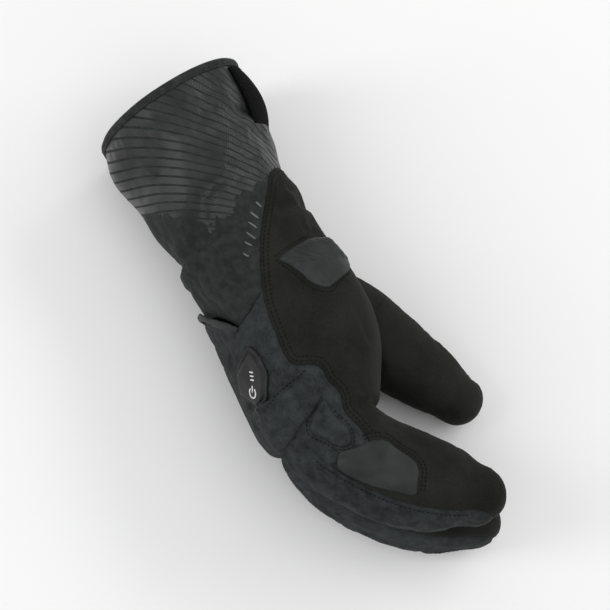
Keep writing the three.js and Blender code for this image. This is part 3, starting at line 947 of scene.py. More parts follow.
class Finish:
    """A cloth's material, built from nodes."""

    def __init__(self, name, roughness=0.9, **sockets):
        self.material = bpy.data.materials.new("glove_" + name)
        self.material.use_nodes = True
        self.tree = self.material.node_tree
        self.shader = self.tree.nodes["Principled BSDF"]
        self.place = self.add("ShaderNodeTexCoord", {}, out="Object")
        self.set(Roughness=roughness, **sockets)

    def add(self, kind, settings, *inputs, out=0, **named):
        """Adds a node: its type, its settings, then values or links for its sockets."""
        node = self.tree.nodes.new(kind)
        for key, value in settings.items():
            setattr(node, key, value)
        pairs = list(enumerate(inputs))
        pairs += [(key.replace("_", " "), value) for key, value in named.items()]
        for key, value in pairs:
            self.join(node.inputs[key], value)
        return Number(self, node.outputs[out])

    def join(self, socket, value):
        if isinstance(value, Number):
            self.tree.links.new(value.socket, socket)
        elif isinstance(value, tuple) and len(value) == 3 and socket.type == "RGBA":
            socket.default_value = (*value, 1.0)
        else:
            socket.default_value = value

    def set(self, **sockets):
        for key, value in sockets.items():
            self.join(self.shader.inputs[key.replace("_", " ")], value)

    def noise(self, scale, detail, roughness):
        return self.add("ShaderNodeTexNoise", {}, Vector=self.place, Scale=scale,
                        Detail=detail, Roughness=roughness)

    def axes(self, vector=None):
        node = self.add("ShaderNodeSeparateXYZ", {}, vector or self.place)
        return [Number(self, node.socket.node.outputs[k]) for k in range(3)]

    def blend(self, share, first, second):
        """A colour between two, by a share."""
        made = self.add("ShaderNodeMix", {"data_type": "RGBA"}, share, out=2)
        for key, value in ((6, first), (7, second)):
            self.join(made.socket.node.inputs[key], value)
        return made

    def bump(self, height, distance, strength):
        return self.add("ShaderNodeBump", {}, Height=height, Distance=distance, Strength=strength)


def chosen(name, share=1.0):
    """One of the user's colours, times a share."""
    return tuple(share * tone for tone in getattr(bpy.context.scene.glove_colours, name))


def suede_finish():
    cloth = Finish("suede", Sheen_Weight=0.03, Sheen_Roughness=0.5, Specular_IOR_Level=0.06)
    nap = cloth.noise(900.0, 4.0, 0.7)
    brushed = cloth.noise(38.0, 3.0, 0.6)
    worn = cloth.noise(11.0, 2.0, 0.5)
    tone = (nap * 0.35 + brushed * 0.4 + worn * 0.35).step(0.35, 0.75)
    cloth.set(Base_Color=cloth.blend(tone, chosen("suede", 0.4), chosen("suede")),
              Roughness=0.9 - brushed * 0.12,
              Normal=cloth.bump(nap * 0.6 + brushed * 0.6, 0.0006, 0.5))
    return cloth.material


def weave_height(cloth, pitch):
    """A plain weave, read where the cloth lies."""
    turn = 2 * math.pi / pitch
    x, y, z = cloth.axes()
    across = ((x * 0.8 + y * 0.6) * turn).sine()
    along = ((z * 0.9 + y * 0.35 - x * 0.5) * turn).sine()
    return across * along


def softshell_finish():
    cloth = Finish("softshell", Specular_IOR_Level=0.14)
    weave = weave_height(cloth, 0.0011)
    yarn = cloth.noise(1400.0, 2.0, 0.6)
    mottle = cloth.noise(160.0, 4.0, 0.65)
    shade = cloth.noise(18.0, 2.0, 0.5)
    tone = (mottle * 0.55 + shade * 0.3 + yarn * 0.3 + weave * 0.06).step(0.36, 0.82)
    cloth.set(Base_Color=cloth.blend(tone, chosen("softshell", 0.235), chosen("softshell")),
              Roughness=0.86 - mottle * 0.16,
              Normal=cloth.bump(weave * 0.25 + yarn * 0.5 + mottle * 0.5, 0.0005, 0.55))
    return cloth.material


def print_finish():
    """Cuff cloth with a glossy print of slanting stripes that ends in a ragged edge."""
    cloth = Finish("printed_cloth", Specular_IOR_Level=0.3)
    pattern = cloth.add("ShaderNodeUVMap", {"uv_map": "print"})
    stripe, reach, _ = cloth.axes(pattern)
    wobble = cloth.noise(60.0, 2.0, 0.5)
    ragged = cloth.noise(95.0, 4.0, 0.65)
    printed = 1 - (reach + ragged * 0.34 - 0.17).step(0.985, 1.0)
    line = 1 - ((stripe + wobble * 0.05).fraction() - 0.5).size().step(0.085, 0.14)
    inked = (printed * (1 - line)).clipped()
    patchy = cloth.noise(34.0, 3.0, 0.65)
    base = cloth.blend(cloth.noise(180.0, 4.0, 0.6).step(0.3, 0.8),
                       chosen("cuff_cloth", 0.375), chosen("cuff_cloth"))
    ink = cloth.blend(patchy.step(0.3, 0.75), chosen("cuff_print", 0.2),
                      chosen("cuff_print", 0.75))
    weave = weave_height(cloth, 0.0012)
    cloth.set(Base_Color=cloth.blend(inked, base, ink),
              Roughness=0.86 - inked * 0.5 - patchy * 0.06,
              Normal=cloth.bump(inked * 0.6 + weave * 0.16 + patchy * 0.5, 0.0006, 0.6))
    return cloth.material


def binding_finish():
    cloth = Finish("binding_cloth", Specular_IOR_Level=0.22)
    rib = (cloth.axes()[0] * 5200.0).sine()
    wear = cloth.noise(240.0, 3.0, 0.6)
    cloth.set(Base_Color=cloth.blend(wear.step(0.35, 0.75), *TONES["binding_cloth"]),
              Roughness=0.62 + wear * 0.2,
              Normal=cloth.bump(rib * 0.25 + wear * 0.6, 0.0003, 0.6))
    return cloth.material


def webbing_finish():
    cloth = Finish("webbing", Specular_IOR_Level=0.05)
    x, _, z = cloth.axes()
    ribs = (x * 5200.0).sine() * (z * 2600.0).sine()
    fuzz = cloth.noise(900.0, 3.0, 0.6)
    cloth.set(Base_Color=cloth.blend(fuzz, *TONES["webbing"]),
              Roughness=0.8 + fuzz * 0.15, Normal=cloth.bump(ribs * 0.5 + fuzz * 0.4, 0.0004, 0.8))
    return cloth.material


def smooth_finish(name="smooth_grey", roughness=0.5):
    low, high = TONES.get(name) or (chosen("patches", 0.48), chosen("patches"))
    cloth = Finish(name, Specular_IOR_Level=0.28)
    grain = cloth.noise(1100.0, 2.0, 0.5)
    cloud = cloth.noise(55.0, 3.0, 0.6)
    cloth.set(Base_Color=cloth.blend(cloud.step(0.3, 0.75), low, high),
              Roughness=roughness + cloud * 0.14,
              Normal=cloth.bump(grain * 0.5 + cloud * 0.7, 0.0003, 0.5))
    return cloth.material


def thread_finish():
    cloth = Finish("thread", Specular_IOR_Level=0.1)
    twist = cloth.noise(2400.0, 2.0, 0.5)
    cloth.set(Base_Color=cloth.blend(twist, chosen("thread", 0.6), chosen("thread", 1.5)),
              Roughness=0.6 + twist * 0.2)
    return cloth.material


def mark_finish():
    ink = Finish("pale_ink", Specular_IOR_Level=0.4)
    worn = ink.noise(420.0, 3.0, 0.6)
    ink.set(Base_Color=ink.blend(worn.step(0.2, 0.7), *TONES["pale_ink"]),
            Roughness=0.45 + worn * 0.2)
    return ink.material


def lining_finish():
    cloth = Finish("lining_fleece", Sheen_Weight=0.3, Specular_IOR_Level=0.2)
    pile = cloth.noise(700.0, 4.0, 0.7)
    cloth.set(Base_Color=cloth.blend(pile, *TONES["lining_fleece"]),
              Roughness=0.9 + pile * 0.08, Normal=cloth.bump(pile, 0.001, 0.8))
    return cloth.material


def floor_finish():
    paper = Finish("pale_floor", Specular_IOR_Level=0.2)
    cloud = paper.noise(3.0, 2.0, 0.5)
    paper.set(Base_Color=paper.blend(cloud, *TONES["pale_floor"]),
              Roughness=0.85 + cloud * 0.1)
    return paper.material


FINISHES = {
    "suede": suede_finish, "softshell": softshell_finish, "printed_cloth": print_finish,
    "binding_cloth": binding_finish, "webbing": webbing_finish, "smooth_grey": smooth_finish,
    "rubber": lambda: smooth_finish("rubber", 0.42),
    "dash_ink": lambda: smooth_finish("dash_ink", 0.4),
    "thread": thread_finish, "pale_ink": mark_finish, "lining_fleece": lining_finish,
}


def finish(name):
    return bpy.data.materials.get("glove_" + name) or FINISHES[name]()


def surface_at(point, aim):
    """Where a ray along -aim meets the shell, or the shell's nearest point."""
    aim = Vector(aim)
    hit = work["surface"].ray_cast(Vector(point) + aim * 150, -aim)
    if hit[0] is None:
        hit = work["surface"].find_nearest(Vector(point))
    return np.array(hit[0])


def eased(outline, reach):
    """A closed outline of straight runs with its corners rounded."""
    ring = []
    count = len(outline)
    for n, corner in enumerate(outline):
        arms = []
        for other in (outline[n - 1], outline[(n + 1) % count]):
            run = other - corner
            arms.append(corner + run * min(reach / np.linalg.norm(run), 0.45))
        for t in np.linspace(0, 1, 7):
            ring.append((1 - t)**2 * arms[0] + 2 * t * (1 - t) * corner + t**2 * arms[1])
    return np.array([*ring, ring[0]])


def laid_patch(name, outline, aim, height, step=1.1, smooth_rounds=4, corner=0):
    """A patch that follows the shell. height gives its rise from the distance to its edge,
    and from its places across and along."""
    aim = np.array(aim, float) / np.linalg.norm(aim)
    across = np.array([1.0, 0.0, 0.0])
    up = np.cross(aim, across)
    flat = np.array([(p[0], p[1]) if len(p) == 2 else (p[0], np.dot(p, up)) for p in outline])
    after = np.roll(flat, -1, 0)
    if np.sum(flat[:, 0] * after[:, 1] - after[:, 0] * flat[:, 1]) < 0:
        flat = flat[::-1]
    if corner:
        ring = eased(flat, corner)
    else:
        ring = curve_through([*flat[-2:], *flat, *flat[:2]], 5)[10:-5]
    low, high = flat.min(0) - step, flat.max(0) + step
    columns, rows = [int(n) + 2 for n in (high - low) / step]
    bm = bmesh.new()
    grid = [[bm.verts.new((low[0] + c * step, low[1] + r * step, 0)) for c in range(columns)]
            for r in range(rows)]
    for r in range(rows - 1):
        for c in range(columns - 1):
            bm.faces.new((grid[r][c], grid[r][c + 1], grid[r + 1][c + 1], grid[r + 1][c]))

    def inside(points):
        return line_distance(points, ring)

    cut_along(bm, inside(np.array([v.co for v in bm.verts])))
    outer = [f for f in bm.faces if inside(np.array([f.calc_center_median()]))[0] < 0]
    bmesh.ops.delete(bm, geom=outer, context="FACES")
    loose = [v for v in bm.verts if not v.link_faces]
    bmesh.ops.delete(bm, geom=loose, context="VERTS")
    bmesh.ops.triangulate(bm, faces=[f for f in bm.faces if len(f.verts) > 4])
    points, faces = mesh_arrays(bm)
    bm.free()
    mesh = mesh_from(name, points, faces)
    rise = height(np.maximum(inside(points), 0), points[:, 0], points[:, 1])
    placed = np.zeros_like(points)
    for n, (u, v, _) in enumerate(points):
        placed[n] = surface_at(across * u + up * v, aim)
    tall_part = placed @ aim
    first, second, count = edge_ends(mesh)
    for _ in range(smooth_rounds):
        total = (np.bincount(first, tall_part[second], len(points))
                 + np.bincount(second, tall_part[first], len(points)))
        tall_part = 0.5 * tall_part + 0.5 * total / count
    placed += aim * (tall_part - placed @ aim)[:, None]
    put_points(mesh, placed)
    put_points(mesh, placed + normals_of(mesh) * rise[:, None])
    return mesh


def rounded(distance, height, edge, sink=0.3):
    share = 1 - np.minimum(distance / edge, 1)
    return (height + sink) * np.sqrt(1 - share**2) - sink


def tape_along(name, line, width, height, lift=0.0, sides=12, steps=5):
    """A flat rounded tape laid on the shell along a line in x, y and z."""
    line = curve_through(line, steps)
    rings = []
    for n, point in enumerate(line):
        near = work["surface"].find_nearest(Vector(point))
        normal = near[1].normalized()
        run = Vector(line[min(n + 1, len(line) - 1)] - line[max(n - 1, 0)]).normalized()
        side = run.cross(normal).normalized()
        base = near[0] + normal * lift
        grow = 0.55 if n in (0, len(line) - 1) else 1.0
        ring = []
        for k in range(sides):
            turn = 2 * math.pi * k / sides
            ring.append(base + side * (round_power(math.cos(turn), 2.6) * width / 2 * grow)
                        + normal * (round_power(math.sin(turn), 2.0) * height / 2 * grow))
        rings.append(np.array(ring))
    return outward(mesh_from(name, *loft(rings)))


def outward(mesh):
    bm = bmesh.new()
    bm.from_mesh(mesh)
    bmesh.ops.recalc_face_normals(bm, faces=bm.faces)
    bm.to_mesh(mesh)
    bm.free()
    return mesh


def finished(name, mesh, materials, thickness=None):
    """Puts a mesh made in table millimetres into the scene with its finish."""
    put_points(mesh, to_row(points_of(mesh)))
    thing = new_object(name, mesh)
    for material in materials:
        mesh.materials.append(finish(material))
    mesh.polygons.foreach_set("use_smooth", [True] * len(mesh.polygons))
    if thickness:
        wall = thing.modifiers.new("wall", "SOLIDIFY")
        wall.thickness = thickness * MM
        wall.offset = -1
        if len(materials) > 1:
            wall.material_offset = 1
    return thing


def add_piece(name, mesh, materials, node_names, thickness=None):
    """Finishes a mesh and says where it belongs."""
    kept(finished(name, mesh, materials, thickness), node_names)


def seam_rise(name, points):
    """How one panel alone stands off along its edges, such as the pocket's mouth."""
    out = np.zeros(len(points))
    near_mouth = np.exp(-np.abs(line_distance(points, MOUTH_LINE)) / MOUTH_REACH)
    behind = smoothstep(-points[:, 1], 22, 32)
    if name == "hand_back":
        out += MOUTH_RISE * near_mouth * behind
    if name == "cuff_shell":
        out -= MOUTH_SINK * near_mouth * behind
    return out


def print_map(mesh):
    """Places for the slanting print: number of the stripe, share of the print's length."""
    points = points_of(mesh)
    x, y, z = points.T
    angle = np.arctan2(y - 2, z - CUFF_Z)
    bent = np.clip(angle, -PRINT_TURN, PRINT_TURN)
    spread = PRINT_RADIUS * (np.sin(bent) + (angle - bent) * math.cos(PRINT_TURN))
    stripe = np.degrees(np.arctan2(PIVOT[1] - spread, PIVOT[0] - x)) / STRIPE_TURN
    end = np.interp(spread, *np.array(PRINT_END).T)
    values = np.stack([stripe, x / end], 1)
    layer = mesh.uv_layers.new(name="print")
    corner = np.empty(len(mesh.loops), int)
    mesh.loops.foreach_get("vertex_index", corner)
    layer.data.foreach_set("uv", values[corner].astype(np.float32).ravel())


def rim_tape():
    """Tape folded over the rim, with a shallow groove along its stitching."""
    rings = []
    for reach, growth in RIM_SECTION:
        ring = body_ring(reach, growth, RIM_SIDES)
        turn = 2 * math.pi * np.arange(RIM_SIDES) / RIM_SIDES
        ring[:, 1] += 0.12 * np.sin(9 * turn + reach)
        rings.append(ring)
    faces = []
    for row in range(len(rings)):
        start, below = row * RIM_SIDES, (row + 1) % len(rings) * RIM_SIDES
        for side in range(RIM_SIDES):
            beside = (side + 1) % RIM_SIDES
            faces.append((start + side, start + beside, below + beside, below + side))
    return outward(mesh_from("rim_binding", np.concatenate(rings), faces))


def pull_loop_sheet():
    """A strap that arches off the palm side of the cuff."""
    rows, columns = 34, 13
    grid = []
    for x in np.linspace(*LOOP_X, rows):
        ring = body_ring(x, 0.3, 240)[:60]
        arch = max(math.sin(math.pi * np.clip((x - 7) / 32, 0, 1)), 0) ** 0.8
        for z in np.linspace(*LOOP_Z, columns):
            y = np.interp(z, ring[:, 2], ring[:, 1])
            at_x = np.interp(z, ring[:, 2], ring[:, 0])
            crown = 0.5 * (1 - ((z - 67) / 17) ** 2)
            reach = np.interp(z, LOOP_Z, LOOP_REACH)
            grid.append((at_x, y + 1.6 + reach * arch + crown * arch, z))
    corners = [r * columns + c for r in range(rows - 1) for c in range(columns - 1)]
    faces = [(n, n + 1, n + columns + 1, n + columns) for n in corners]
    mesh = outward(mesh_from("pull_loop", grid, faces))
    if sum(p.normal.y for p in mesh.polygons) < 0:
        mesh.flip_normals()
    return mesh


def stitch_tree():
    """Nodes that set stitches along the edges of a mesh."""
    tree = bpy.data.node_groups.new("stitch_row", "GeometryNodeTree")
    for label, kind, value in STITCH_INPUTS:
        socket = tree.interface.new_socket(label, in_out="INPUT", socket_type="NodeSocket" + kind)
        if value is not None:
            socket.default_value = value
    tree.interface.new_socket("Geometry", in_out="OUTPUT", socket_type="NodeSocketGeometry")
    nodes = {}
    for name, kind, settings, values in STITCH_NODES:
        nodes[name] = tree.nodes.new(kind)
        for key, value in settings.items():
            setattr(nodes[name], key, value)
        for key, value in values.items():
            nodes[name].inputs[key].default_value = value
    for start, outlet, end, inlet in STITCH_LINKS:
        tree.links.new(nodes[start].outputs[outlet], nodes[end].inputs[inlet])
    return tree


def stitches(name, lines, pitch, lift=0.1):
    """Rows of stitches on the shell along lines in x, y and z, as one plain mesh."""
    points, edges = [], []
    for line in lines:
        start = len(points)
        for point in line:
            near = work["surface"].find_nearest(Vector(point))
            points.append(np.array(near[0] + near[1].normalized() * lift))
        edges += [(n, n + 1) for n in range(start, len(points) - 1)]
    mesh = bpy.data.meshes.new(name + "_line")
    mesh.from_pydata([tuple(p) for p in to_row(points)], edges, [])
    thing = new_object(name, mesh)
    row = thing.modifiers.new("row", "NODES")
    row.node_group = bpy.data.node_groups.get("stitch_row") or stitch_tree()
    values = {"Pitch": pitch * MM, "Length": STITCH_LENGTH, "Thickness": STITCH_THICKNESS,
              "Unevenness": STITCH_UNEVENNESS, "Seed": STITCH_SEED, "Material": finish("thread")}
    for item in row.node_group.interface.items_tree:
        if item.in_out == "INPUT" and item.name in values:
            row[item.identifier] = values[item.name]
    plain = settled(thing)
    plain.polygons.foreach_set("use_smooth", [True] * len(plain.polygons))
    plain.name = name
    return new_object(name, plain)


def shifted(line, distance):
    """A line in x and y moved to its left."""
    line = np.asarray(line, float)
    run = np.gradient(line, axis=0)
    run /= np.maximum(np.linalg.norm(run, axis=1, keepdims=True), 1e-9)
    return line + distance * np.stack([-run[:, 1], run[:, 0]], 1)


def on_top(line, direction=1.0):
    """The line in x and y, dropped on the shell from above, or from below."""
    placed = []
    for x, y in line:
        hit = work["surface"].ray_cast(Vector((x, y, 200 * direction)), Vector((0, 0, -direction)))
        if hit[0] is not None and hit[1].z * direction > 0.12:
            placed.append(tuple(hit[0]))
        elif placed:
            break
    return placed


def part_of(line, first, last):
    """The points of a line whose x lies between two places."""
    return np.array([p for p in line if first <= p[0] <= last])


class GloveSizes(bpy.types.PropertyGroup):
    """Sizes of the trims that a user would change."""

    wall: bpy.props.FloatProperty(
        name="Cloth wall", description="Thickness of the sewn shell", default=1.8 * MM,
        min=0.5 * MM, max=4 * MM, unit="LENGTH", precision=4)
    patch_rise: bpy.props.FloatProperty(
        name="Heel patch rise", description="How far the heel patch stands out",
        default=1.9 * MM, min=0.5 * MM, max=5 * MM, unit="LENGTH", precision=4)
    rib_pitch: bpy.props.FloatProperty(
        name="Rib pitch", description="Distance between the ribs of the heel patch",
        default=2.9 * MM, min=1 * MM, max=6 * MM, unit="LENGTH", precision=4)
    stitch_pitch: bpy.props.FloatProperty(
        name="Stitch pitch", description="Distance from one stitch to the next",
        default=STITCH_PITCH, min=1 * MM, max=6 * MM, unit="LENGTH", precision=4)


class GloveColours(bpy.types.PropertyGroup):
    """Lightest tones of the glove's cloths."""

    suede: bpy.props.FloatVectorProperty(
        name="Suede", description="Suede of the palm, thumb and finger fronts",
        default=(0.0215, 0.0215, 0.0188), min=0, max=1, subtype="COLOR")
    softshell: bpy.props.FloatVectorProperty(
        name="Softshell", description="Woven cloth of the back and the finger backs",
        default=(0.04, 0.0455, 0.0465), min=0, max=1, subtype="COLOR")
    cuff_cloth: bpy.props.FloatVectorProperty(
        name="Cuff cloth", description="Plain cloth under the print of the cuff",
        default=(0.024, 0.0275, 0.0275), min=0, max=1, subtype="COLOR")
    cuff_print: bpy.props.FloatVectorProperty(
        name="Cuff print", description="Glossy ink between the stripes of the cuff",
        default=(0.046, 0.047, 0.0475), min=0, max=1, subtype="COLOR")
    patches: bpy.props.FloatVectorProperty(
        name="Patches", description="Smooth cloth of the heel patch and the finger insert",
        default=(0.0235, 0.0254, 0.0258), min=0, max=1, subtype="COLOR")
    thread: bpy.props.FloatVectorProperty(
        name="Thread", description="Thread of the seams", default=(0.006, 0.006, 0.006),
        min=0, max=1, subtype="COLOR")


class GLOVE_OT_shell(bpy.types.Operator):
    """Builds the padded shell and cuts it along its seams"""

    bl_idname = "glove.shell"
    bl_label = "Glove shell"

    def execute(self, context):
        make_shell()
        wall = context.scene.glove_sizes.wall / MM
        plan = (
            ("cuff_shell", ("cuff",), "printed_cloth", 0.15),
            ("palm_suede", ("palm_panel", "outer_pouch_palm", "inner_pouch_palm"), "suede", 0.35),
            ("thumb_suede", ("thumb",), "suede", 0.4),
            ("hand_back", ("back_panel",), "softshell", 0.35),
            ("outer_finger_back", ("outer_pouch_back",), "softshell", 0.4),
            ("inner_finger_back", ("inner_pouch_back",), "softshell", 0.4),
        )
        for name, nodes, cloth, fill in plan:
            mesh = work[name]
            rise = seam_rise(name, points_of(mesh))
            put_points(mesh, points_of(mesh) + normals_of(mesh) * rise[:, None])
            if name == "cuff_shell":
                print_map(mesh)
            add_piece(name, mesh, (cloth, "lining_fleece"), nodes, wall)
        return {"FINISHED"}


class GLOVE_OT_rim(bpy.types.Operator):
    """Folds the tape over the rim and sews on the pull loop"""

    bl_idname = "glove.rim"
    bl_label = "Rim and loop"

    def execute(self, context):
        add_piece("rim_binding", rim_tape(), ("binding_cloth",), ("cuff_binding",))
        add_piece("pull_loop", pull_loop_sheet(), ("webbing",), ("cuff_loop",),
                  LOOP_THICKNESS)
        return {"FINISHED"}


class GLOVE_OT_patches(bpy.types.Operator):
    """Lays the heel patch, knuckle panel, finger insert and pocket edge on the shell"""

    bl_idname = "glove.patches"
    bl_label = "Patches"

    def execute(self, context):
        sizes = context.scene.glove_sizes
        rise, pitch = sizes.patch_rise / MM, sizes.rib_pitch / MM

        def heel(distance, u, v):
            body = rounded(distance, rise, PATCH_EDGE)
            tilt = u * RIB_AIM[0] + v * RIB_AIM[1]
            ribs = RIB_HEIGHT * np.cos(2 * math.pi * tilt / pitch) * smoothstep(distance, 2.2, 4.5)
            facet = smoothstep(FACET[0] * u + FACET[1] * v, FACET[2], FACET[2] + 1.5)
            return body + ribs * (1 - facet) - FACET_DEPTH * facet * smoothstep(distance, 0, 4)

        def plain(height, edge):
            return lambda distance, u, v: rounded(distance, height, edge)

        heel_line = [(x, y, z) for (x, y), z in zip(PATCH_OUTLINE, PATCH_HEIGHTS)]
        plan = (
            ("heel_pad", heel_line, PATCH_AIM, heel, 0.8, PATCH_CORNER,
             ("heel_patch",), "smooth_grey", 1.6, 0.5),
            ("knuckle_panel", BAND_OUTLINE, BAND_AIM, plain(1.25, 1.6), 1.2, 0,
             ("knuckle_band",), "softshell", 1.2, 0.3),
            ("finger_tab", TAB_OUTLINE, UP, plain(1.5, 1.5), 0.9, 0, (), "softshell", 1.2, 0.3),
            ("finger_patch", INSERT_OUTLINE, UP, plain(0.9, 1.8), 1.0, 0,
             ("finger_insert",), "smooth_grey", 1.0, 0.3),
        )
        for name, outline, aim, height, step, corner, nodes, cloth, wall, fill in plan:
            mesh = laid_patch(name, outline, aim, height, step, corner=corner)
            add_piece(name, mesh, (cloth,), nodes, wall)
        parts = []
        for ends in DASHES:
            dash = tape_along("dash", ends, *DASH_TAPE, 8, 4)
            parts.append((points_of(dash), [tuple(p.vertices) for p in dash.polygons]))
            bpy.data.meshes.remove(dash)
        dashes = mesh_from("cuff_dashes", *joined(parts))
        add_piece("cuff_dashes", dashes, ("dash_ink",), ())
        edge = tape_along("pocket_edge", MOUTH_EDGE, *MOUTH_TAPE)
        add_piece("pocket_edge", edge, ("smooth_grey",), ("pocket_binding",))
        return {"FINISHED"}


def mark_strip(line, width, height=0.16):
    """A thin printed stroke on the switch cover."""
    line = np.asarray(line, float)
    rings = []
    for n, point in enumerate(line):
        run = line[min(n + 1, len(line) - 1)] - line[max(n - 1, 0)]
        run /= np.linalg.norm(run)
        side = np.cross(run, SWITCH_AIM)
        ring = []
        for a, b in ((-1, 0), (-0.8, 1), (0.8, 1), (1, 0), (0.8, -1), (-0.8, -1)):
            ring.append(point + side * a * width / 2 + SWITCH_AIM * b * height)
        rings.append(np.array(ring))
    return loft(rings)


class GLOVE_OT_switch(bpy.types.Operator):
    """Moulds the switch cover with its groove and plain marks"""

    bl_idname = "glove.switch"
    bl_label = "Switch cover"

    def execute(self, context):
        def cover(distance, u, v):
            lip = rounded(distance, *COVER_LIP)
            depth, place, width = COVER_GROOVE
            groove = depth * np.exp(-((distance - place) / width) ** 2)
            crown = 1.1 * smoothstep(distance, 2.4, 4.2) + 0.3 * smoothstep(distance, 4, 12)
            return lip - groove + crown

        mesh = laid_patch("switch_cover", SWITCH_OUTLINE, SWITCH_AIM, cover, 0.6, 10, SWITCH_CORNER)
        face = BVHTree.FromPolygons([tuple(p) for p in points_of(mesh)],
                                    [tuple(p.vertices) for p in mesh.polygons])
        add_piece("switch_cover", mesh, ("rubber",), ("power_button",), SWITCH_WALL)

        centre = np.array(MARK_CENTRE)

        def drawn(line):
            placed = []
            for a, b in line:
                start = centre + a * np.array(MARK_ALONG) + b * np.array(MARK_ACROSS)
                hit = face.ray_cast(Vector(start + SWITCH_AIM * 40), Vector(-SWITCH_AIM))
                placed.append(np.array(hit[0]) if hit[0] is not None else start)
            return placed

        bars = [BAR_START + BAR_STEP * n for n in range(3)]
        strokes = [([(at, -BAR_REACH), (at, BAR_REACH)], BAR_WIDTH) for at in bars]
        ring = [(RING_RADIUS * math.cos(t) - RING_SHIFT, RING_RADIUS * math.sin(t))
                for t in np.linspace(math.radians(40), math.radians(320), 22)]
        strokes += [(ring, RING_WIDTH), ([(-3.0, 0.0), (0.9, 0.0)], RING_WIDTH)]
        parts = [mark_strip(drawn(line), width) for line, width in strokes]
        marks = outward(mesh_from("switch_marks", *joined(parts)))
        add_piece("switch_marks", marks, ("pale_ink",), ())
        return {"FINISHED"}


class GLOVE_OT_stitching(bpy.types.Operator):
    """Sews the visible rows of stitches"""

    bl_idname = "glove.stitching"
    bl_label = "Stitching"

    def execute(self, context):
        pitch = context.scene.glove_sizes.stitch_pitch / MM
        palm_seam = part_of(SEAM_LINE, *PALM_STITCHES)
        under_seam = part_of(SEAM_LINE, *UNDER_STITCHES)
        rows = []
        for distance in DOUBLE_ROW:
            rows.append(on_top(shifted(palm_seam, distance)))
            rows.append(on_top(shifted(under_seam, distance), -1.0))
        kept(stitches("palm_stitches", rows, pitch), ())

        insert = curve_through([*INSERT_OUTLINE, INSERT_OUTLINE[0]])
        side = insert[10:46]
        rows = [on_top(shifted(side, distance)) for distance in INSERT_ROWS]
        patch = curve_through([*PATCH_OUTLINE, PATCH_OUTLINE[0]])
        rows.append(on_top(shifted(patch, 2.0)[30:]))
        rows.append(on_top(shifted(patch, 2.0)[:12]))
        kept(stitches("patch_stitches", rows, pitch * 0.9), ())

        tab = curve_through([*TAB_OUTLINE, TAB_OUTLINE[0]])
        band = curve_through([p[:2] for p in BAND_OUTLINE[:3]])
        rows = [on_top(shifted(tab, 1.4)[6:52]), on_top(shifted(band, -1.6)),
                on_top(shifted(part_of(OUTER_SEAM, *BACK_STITCHES), -1.8))]
        rows = [row for row in rows if len(row) > 1]
        kept(stitches("back_stitches", rows, pitch, lift=0.9), ())

        ring = body_ring(*RIM_ROW, 260)
        off_floor = ring[:, 2] > 0.5
        rows = [[tuple(p) for p in ring[off_floor]]]
        kept(stitches("rim_stitches", rows, pitch, lift=0.0), ())
        return {"FINISHED"}


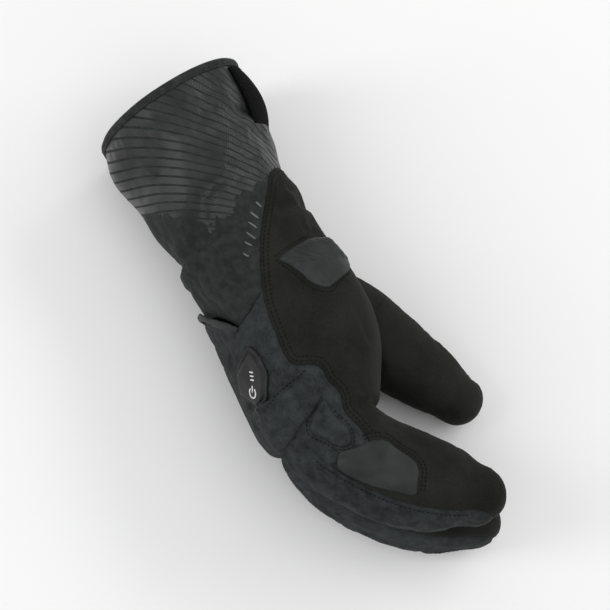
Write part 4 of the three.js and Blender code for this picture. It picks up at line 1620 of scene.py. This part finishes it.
class GLOVE_OT_stage(bpy.types.Operator):
    """Lays the floor, hangs the lights and sets the camera"""

    bl_idname = "glove.stage"
    bl_label = "Stage"

    def execute(self, context):
        scene = context.scene
        bm = bmesh.new()
        bmesh.ops.create_grid(bm, x_segments=2, y_segments=2, size=FLOOR_SIZE)
        floor_mesh = bpy.data.meshes.new("floor")
        bm.to_mesh(floor_mesh)
        bm.free()
        floor = new_object("floor", floor_mesh)
        floor_mesh.transform(Matrix.Translation((0, 0, -FLOOR_DROP)))
        floor_mesh.materials.append(floor_finish())

        world = bpy.data.worlds.new("studio")
        world.use_nodes = True
        world.node_tree.nodes["Background"].inputs["Color"].default_value = (1, 1, 1, 1)
        world.node_tree.nodes["Background"].inputs["Strength"].default_value = WORLD_LIGHT
        scene.world = world
        for name, power, size, place, aim in LIGHTS:
            lamp = bpy.data.lights.new(name, "AREA")
            lamp.energy, lamp.shape = power, "RECTANGLE"
            lamp.size, lamp.size_y = size
            thing = new_object(name, lamp)
            thing.location = place
            toward = Vector(aim) - Vector(place)
            thing.rotation_euler = toward.to_track_quat("-Z", "Y").to_euler()

        lens = bpy.data.cameras.new("camera")
        lens.lens = CAMERA["lens"]
        lens.clip_start, lens.clip_end = 0.05, 50
        camera = new_object("camera", lens)
        turn, tilt, roll = CAMERA["turn"], CAMERA["tilt"], CAMERA["roll"]
        back = Vector((math.cos(tilt) * math.cos(turn), math.cos(tilt) * math.sin(turn),
                       math.sin(tilt)))
        level = Vector((0, 1, 0)).cross(back).normalized()
        upright = back.cross(level)
        right = level * math.cos(roll) + upright * math.sin(roll)
        over = back.cross(right)
        place = Vector(CAMERA["aim"]) + back * CAMERA["distance"]
        facing = Matrix((right, over, back)).transposed().to_4x4()
        camera.matrix_world = Matrix.Translation(place) @ facing
        scene.camera = camera
        scene.view_settings.view_transform = "Standard"
        return {"FINISHED"}


class GLOVE_PT_sidebar(bpy.types.Panel):
    """Lists the steps and sizes of the glove"""

    bl_idname = "GLOVE_PT_sidebar"
    bl_label = "Winter glove"
    bl_space_type = "VIEW_3D"
    bl_region_type = "UI"
    bl_category = "Glove"

    def draw(self, context):
        sizes = context.scene.glove_sizes
        colours = context.scene.glove_colours
        for key in GloveSizes.__annotations__:
            self.layout.prop(sizes, key)
        for key in GloveColours.__annotations__:
            self.layout.prop(colours, key)
        for step in STEPS:
            self.layout.operator(step.bl_idname)


STEPS = (GLOVE_OT_shell, GLOVE_OT_rim, GLOVE_OT_patches, GLOVE_OT_switch, GLOVE_OT_stitching,
         GLOVE_OT_stage)
CLASSES = (GloveSizes, GloveColours, *STEPS, GLOVE_PT_sidebar)


def register():
    for kind in CLASSES:
        bpy.utils.register_class(kind)
    bpy.types.Scene.glove_sizes = bpy.props.PointerProperty(type=GloveSizes)
    bpy.types.Scene.glove_colours = bpy.props.PointerProperty(type=GloveColours)


def unregister():
    del bpy.types.Scene.glove_colours
    del bpy.types.Scene.glove_sizes
    for kind in reversed(CLASSES):
        bpy.utils.unregister_class(kind)


def main():
    register()
    for step in STEPS:
        group, name = step.bl_idname.split(".")
        getattr(getattr(bpy.ops, group), name)()


if __name__ == "__main__":
    main()
